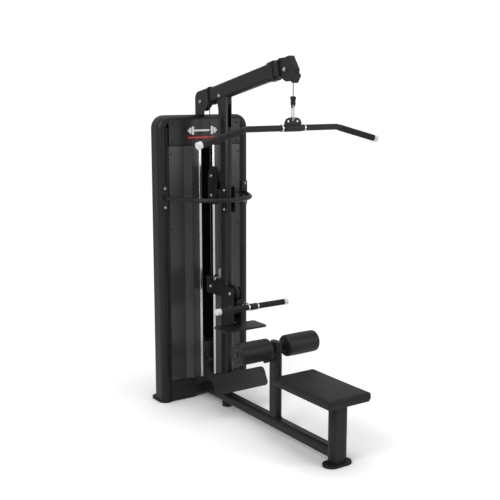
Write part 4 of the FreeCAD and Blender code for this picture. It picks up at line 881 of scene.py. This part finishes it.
def make_bolts():
    """Domed heads over the plain heads that the frame holds, and the screws of the covers."""
    axle, rail = 0.0095, 0.0074                # radii of the domed heads
    spacer, plain_head = 0.0062, 0.0066        # what they stand on, out from the cheeks
    mesh = bmesh.new()
    boom_side = size("boom").x / 2
    cheek = size("low_pulley_bracket").x / 2
    places = (
        (PULLEYS["front"], HEAD_SIDE), (PULLEYS["middle"], boom_side),
        (PULLEYS["rear"], boom_side + spacer), (PULLEYS["low_rear"], cheek),
        (middle("row_guide_upper"), cheek), (middle("row_guide_lower"), cheek), (ANCHOR_BOLT, cheek),
    )
    for centre, reach in places:
        for side in (-1, 1):
            at = Vector((side * (reach + plain_head), centre.y, centre.z))
            add_dome_bolt(mesh, at, X * side, axle)
    hoop_high = (low("hoop_rail").z + high("hoop_rail").z) / 2
    for side in (-1, 1):
        for rise in (-HOOP_BOLTS, HOOP_BOLTS):
            add_dome_bolt(mesh, Vector((side * UPRIGHT, HOOP_FACE, hoop_high + rise)), -Y, rail)
            add_dome_bolt(mesh, Vector((side * EAR_FACE, EAR_DEPTH, hoop_high + rise)), X * side, rail)
    piece("bolt_heads", mesh, ZINC, "frame")

    mesh = bmesh.new()
    block_side = size("floating_block").x / 2
    for node in ("block_upper_pulley", "block_lower_pulley"):
        for side in (-1, 1):
            centre = middle(node)
            at = Vector((side * (block_side - 0.0004), centre.y, centre.z))
            add_dome_bolt(mesh, at, X * side, axle)
    piece("block_bolts", mesh, ZINC, "floating_block")

    plate_screw, cover_screw, shield_screw = (0.0062, 0.003), (0.0058, 0.003), (0.0050, 0.0028)
    cover_inset, shield_inset = 0.018, 0.014
    mesh = bmesh.new()
    plate_low, plate_high = low("name_plate"), high("name_plate")
    for side in (-1, 1):
        for rise in (plate_low.z + 0.013, plate_high.z - 0.022):
            add_dome_bolt(mesh, Vector((side * SCREW_ACROSS, plate_low.y, rise)), -Y, *plate_screw)
    cover_low, cover_high = low("rear_cover"), high("rear_cover")
    for side in (-1, 1):
        for rise in evenly(cover_low.z, cover_high.z, 0.04, 6):
            at = Vector((side * (cover_high.x - cover_inset), cover_high.y, rise))
            add_dome_bolt(mesh, at, Y, *cover_screw)
    for node, across in (("shield_left", low("shield_left").x + shield_inset),
                         ("shield_right", high("shield_right").x - shield_inset)):
        for rise in evenly(low(node).z, high(node).z, 0.05, 4):
            add_dome_bolt(mesh, Vector((across, TUBE_FACE, rise)), -Y, *shield_screw)
    piece("cover_screws", mesh, PAINT, "frame")


make_bolts()


def add_bead(mesh, points, radius=0.0028, pitch=0.0042, closed=True):
    """A weld bead: overlapping ripples along a route."""
    per_ripple, sides = 3, 8
    route = spread(points + points[:1] if closed else points, pitch / per_ripple)
    rings = []
    for index, point in enumerate(route):
        before, after = route[index - 1], route[(index + 1) % len(route)]
        if not closed:
            before, after = route[max(index - 1, 0)], route[min(index + 1, len(route) - 1)]
        along = (after - before).normalized()
        side, up = frame_of(along)
        ripple = 1 + 0.22 * math.cos(2 * math.pi * index / per_ripple)
        swell = radius * ripple * random.uniform(0.93, 1.07)
        rings.append([mesh.verts.new(spot) for spot in ring_points(point, side, up, swell, sides)])
    for one, two in zip(rings, rings[1:] + rings[:1] if closed else rings[1:]):
        join_rings(mesh, one, two)


def oval_route(centre, across, deep, height, count=18):
    """Points round a flat oval that stands upright."""
    radius, reach = min(across, deep) / 2, abs(deep - across) / 2
    axis = Y if deep > across else X
    points = []
    for half, turn in ((1, 0), (-1, 180)):
        start = turn if deep > across else turn - 90
        for step in range(count + 1):
            angle = math.radians(start + 180 * step / count)
            around = Vector((math.cos(angle), math.sin(angle), 0)) * radius
            points.append(Vector((centre.x, centre.y, height)) + axis * reach * half + around)
    return points


def make_welds():
    """Beads where the posts stand on the beam, and where the beam and the seat rail meet their posts."""
    gap, lift = 0.001, 0.0012
    mesh = bmesh.new()
    beam_low, beam_top = low("base_beam").z, high("base_beam").z
    for node in ("mast", "thigh_post"):
        foot = Vector((0, low(node).y + POST[1] / 2, 0))
        add_bead(mesh, oval_route(foot, POST[0] + gap, POST[1] + gap, beam_top + lift))
    half = size("base_beam").x / 2
    face = high("front_leg").y
    side = [(0.9, beam_low + 0.012), (1, beam_low + 0.03), (1, beam_top - 0.03), (0.8, beam_top - 0.004)]
    seam = [Vector((-half * share, face, rise)) for share, rise in side]
    seam.append(Vector((0, face, beam_top)))
    seam += [Vector((half * share, face, rise)) for share, rise in reversed(side)]
    add_bead(mesh, seam, closed=False)
    rail_low, rail_high = low("seat_rail"), high("seat_rail")
    rail_half = POST[0] / 2
    for depth in (face, rail_high.y + 0.0002):
        for across in (-rail_half, rail_half):
            ends = [Vector((across, depth, rail_low.z + rise)) for rise in (0.003, 0.037)]
            add_bead(mesh, ends, closed=False)
    piece("weld_beads", mesh, PAINT, "frame")


make_welds()


def make_seals():
    """Moulded strips in the grooves between the panels' edges and the uprights."""
    edge = high("name_plate").x
    section = (     # across from the panel's edge, and in from the tube's face
        (0.0001, 0.008), (0.0138, 0.008), (0.0101, 0.012), (0.0044, 0.022), (0.0026, 0.032),
        (0.0001, 0.032),
    )
    plate_short, cover_foot, cover_short = 0.045, 0.012, 0.020   # strips stop short of the tube's bends
    front = [(low(node).z, high(node).z) for node in ("kick_panels", "shield_left")]
    front.append((low("name_plate").z, high("name_plate").z - plate_short))
    rear = [(low("rear_cover").z + cover_foot, high("rear_cover").z - cover_short)]
    mesh = bmesh.new()
    for facing, spans in ((-1, front), (1, rear)):
        for foot, top in spans:
            for side in (-1, 1):
                one, two = ([
                    mesh.verts.new((side * (edge + across), TOWER + facing * (TUBE_HALF - deep), rise))
                    for across, deep in section
                ] for rise in (foot, top))
                cap_ends(mesh, [two, one])
                join_rings(mesh, one, two)
    piece("panel_seals", mesh, GUARD, "frame", smooth=False)


make_seals()


def make_sign():
    """A plain dumbbell sign over a red line, raised on the name plate."""
    plate_low, plate_high = low("name_plate"), high("name_plate")
    face = plate_low.y
    rise = (plate_low.z + plate_high.z) / 2

    def raised(mesh, x, z, wide, tall, corner, thick=0.0016):
        """A flat block with rounded corners, standing on the plate."""
        points = []
        for quarter, (sx, sz) in enumerate(((1, 1), (-1, 1), (-1, -1), (1, -1))):
            for step in range(6):
                angle = math.pi / 2 * (quarter + step / 5)
                points.append((
                    x + sx * (wide / 2 - corner) + corner * math.cos(angle),
                    z + sz * (tall / 2 - corner) + corner * math.sin(angle),
                ))
        back = [mesh.verts.new((px, face + 0.0002, pz)) for px, pz in points]
        front = [mesh.verts.new((px, face - thick, pz)) for px, pz in points]
        cap_ends(mesh, [back, front])
        join_rings(mesh, back, front)

    mesh = bmesh.new()
    across, bar_rise = -0.02, rise + 0.010
    raised(mesh, across, bar_rise, 0.120, 0.011, 0.003)
    discs = ((0.070, 0.016, 0.052, 0.005), (0.089, 0.014, 0.036, 0.005), (0.102, 0.010, 0.012, 0.003))
    for side in (-1, 1):
        for away, wide, tall, corner in discs:
            raised(mesh, across + side * away, bar_rise, wide, tall, corner)
    piece("plate_sign", mesh, WHITE_CAP, "frame", smooth=False)
    mesh = bmesh.new()
    raised(mesh, across, rise - 0.034, 0.216, 0.010, 0.004)
    piece("plate_line", mesh, SIGN_RED, "frame", smooth=False)


make_sign()


# ---------------------------------------------------------------- floor, light and camera
FLOOR_GAIN = 1.28                # lifts the lit floor to white
SHADOW_DEPTH = 0.30              # power of the contact shadows
FLOOR_FADE = (0.9, 2.3)          # the lit floor turns into plain backdrop between these distances
ROOM_LIGHT = 0.55
SKY_WHITE = 1.05                 # backdrop, just over white
LENS, SENSOR = 65.2, 36.0        # millimetres
CAMERA_PLACE = (-2.988, -4.328, 2.030)
CAMERA_TILT, CAMERA_TURN = 10.23, -33.81   # degrees down, and about the vertical


def make_stage():
    """White floor with soft contact shadows, a white room, three area lights and the camera."""
    bpy.ops.mesh.primitive_plane_add(size=40, location=(0, 0, 0))
    floor = bpy.context.object
    floor.name = "studio_floor"
    material, _, place, add, _ = new_material("pale_floor")
    tone = ramp(add, noise(add, place, 1.5, 2), 0.3, 0.7, grey(0.90), grey(0.92))
    seen = add("LightPath").outputs["Is Camera Ray"]
    plain = add("BsdfDiffuse", {"Color": tone}).outputs["BSDF"]
    corners = add("AmbientOcclusion", {"Distance": 0.55}, samples=32).outputs["AO"]
    contact = add("Math", {0: corners, 1: SHADOW_DEPTH}, operation="POWER").outputs["Value"]
    white = add("Math", {0: contact, 1: FLOOR_GAIN}, operation="MULTIPLY").outputs["Value"]
    lit = add("BsdfDiffuse", {"Color": white}).outputs["BSDF"]
    away = add("VectorMath", {0: place}, operation="LENGTH").outputs["Value"]
    fade = {"Value": away, "From Min": FLOOR_FADE[0], "From Max": FLOOR_FADE[1]}
    far = add("MapRange", fade, interpolation_type="SMOOTHSTEP")
    backdrop = add("Emission", {"Color": grey(1.0), "Strength": SKY_WHITE}).outputs["Emission"]
    ground = add("MixShader", {"Fac": far.outputs["Result"], 1: lit, 2: backdrop}).outputs["Shader"]
    both = add("MixShader", {"Fac": seen, 1: plain, 2: ground}).outputs["Shader"]
    output = material.node_tree.nodes["Material Output"]
    material.node_tree.links.new(both, output.inputs["Surface"])
    floor.data.materials.append(material)

    world = bpy.data.worlds.new("studio")
    bpy.context.scene.world = world
    world.use_nodes = True
    tree = world.node_tree
    dim = tree.nodes["Background"]
    dim.inputs["Color"].default_value = (1, 1, 1, 1)
    dim.inputs["Strength"].default_value = ROOM_LIGHT
    white = tree.nodes.new("ShaderNodeBackground")
    white.inputs["Color"].default_value = (1, 1, 1, 1)
    white.inputs["Strength"].default_value = SKY_WHITE
    mix = tree.nodes.new("ShaderNodeMixShader")
    tree.links.new(tree.nodes.new("ShaderNodeLightPath").outputs["Is Camera Ray"], mix.inputs["Fac"])
    tree.links.new(dim.outputs["Background"], mix.inputs[1])
    tree.links.new(white.outputs["Background"], mix.inputs[2])
    tree.links.new(mix.outputs["Shader"], tree.nodes["World Output"].inputs["Surface"])

    def soft_box(name, place, target, across, power):
        """An area light that faces its target."""
        light = bpy.data.lights.new(name, "AREA")
        light.shape = "RECTANGLE"
        light.size, light.size_y = across
        light.energy = power
        thing = bpy.data.objects.new(name, light)
        bpy.context.scene.collection.objects.link(thing)
        thing.location = place
        thing.rotation_euler = (Vector(target) - Vector(place)).to_track_quat("-Z", "Y").to_euler()

    soft_box("key_light", (-3.6, -1.6, 3.8), (0, 0.1, 1.0), (2.4, 2.4), 90)
    soft_box("fill_light", (2.8, -3.6, 2.4), (0, 0, 1.0), (2.0, 2.6), 35)
    soft_box("top_light", (0.3, 0.4, 4.6), (0, 0, 0.5), (3.0, 3.0), 38)

    camera = bpy.data.cameras.new("camera")
    camera.lens = LENS
    camera.sensor_width = SENSOR
    thing = bpy.data.objects.new("camera", camera)
    bpy.context.scene.collection.objects.link(thing)
    thing.location = CAMERA_PLACE
    thing.rotation_euler = (math.radians(90 - CAMERA_TILT), 0, math.radians(CAMERA_TURN))
    bpy.context.scene.camera = thing
    bpy.context.scene.view_settings.view_transform = "Standard"


make_stage()
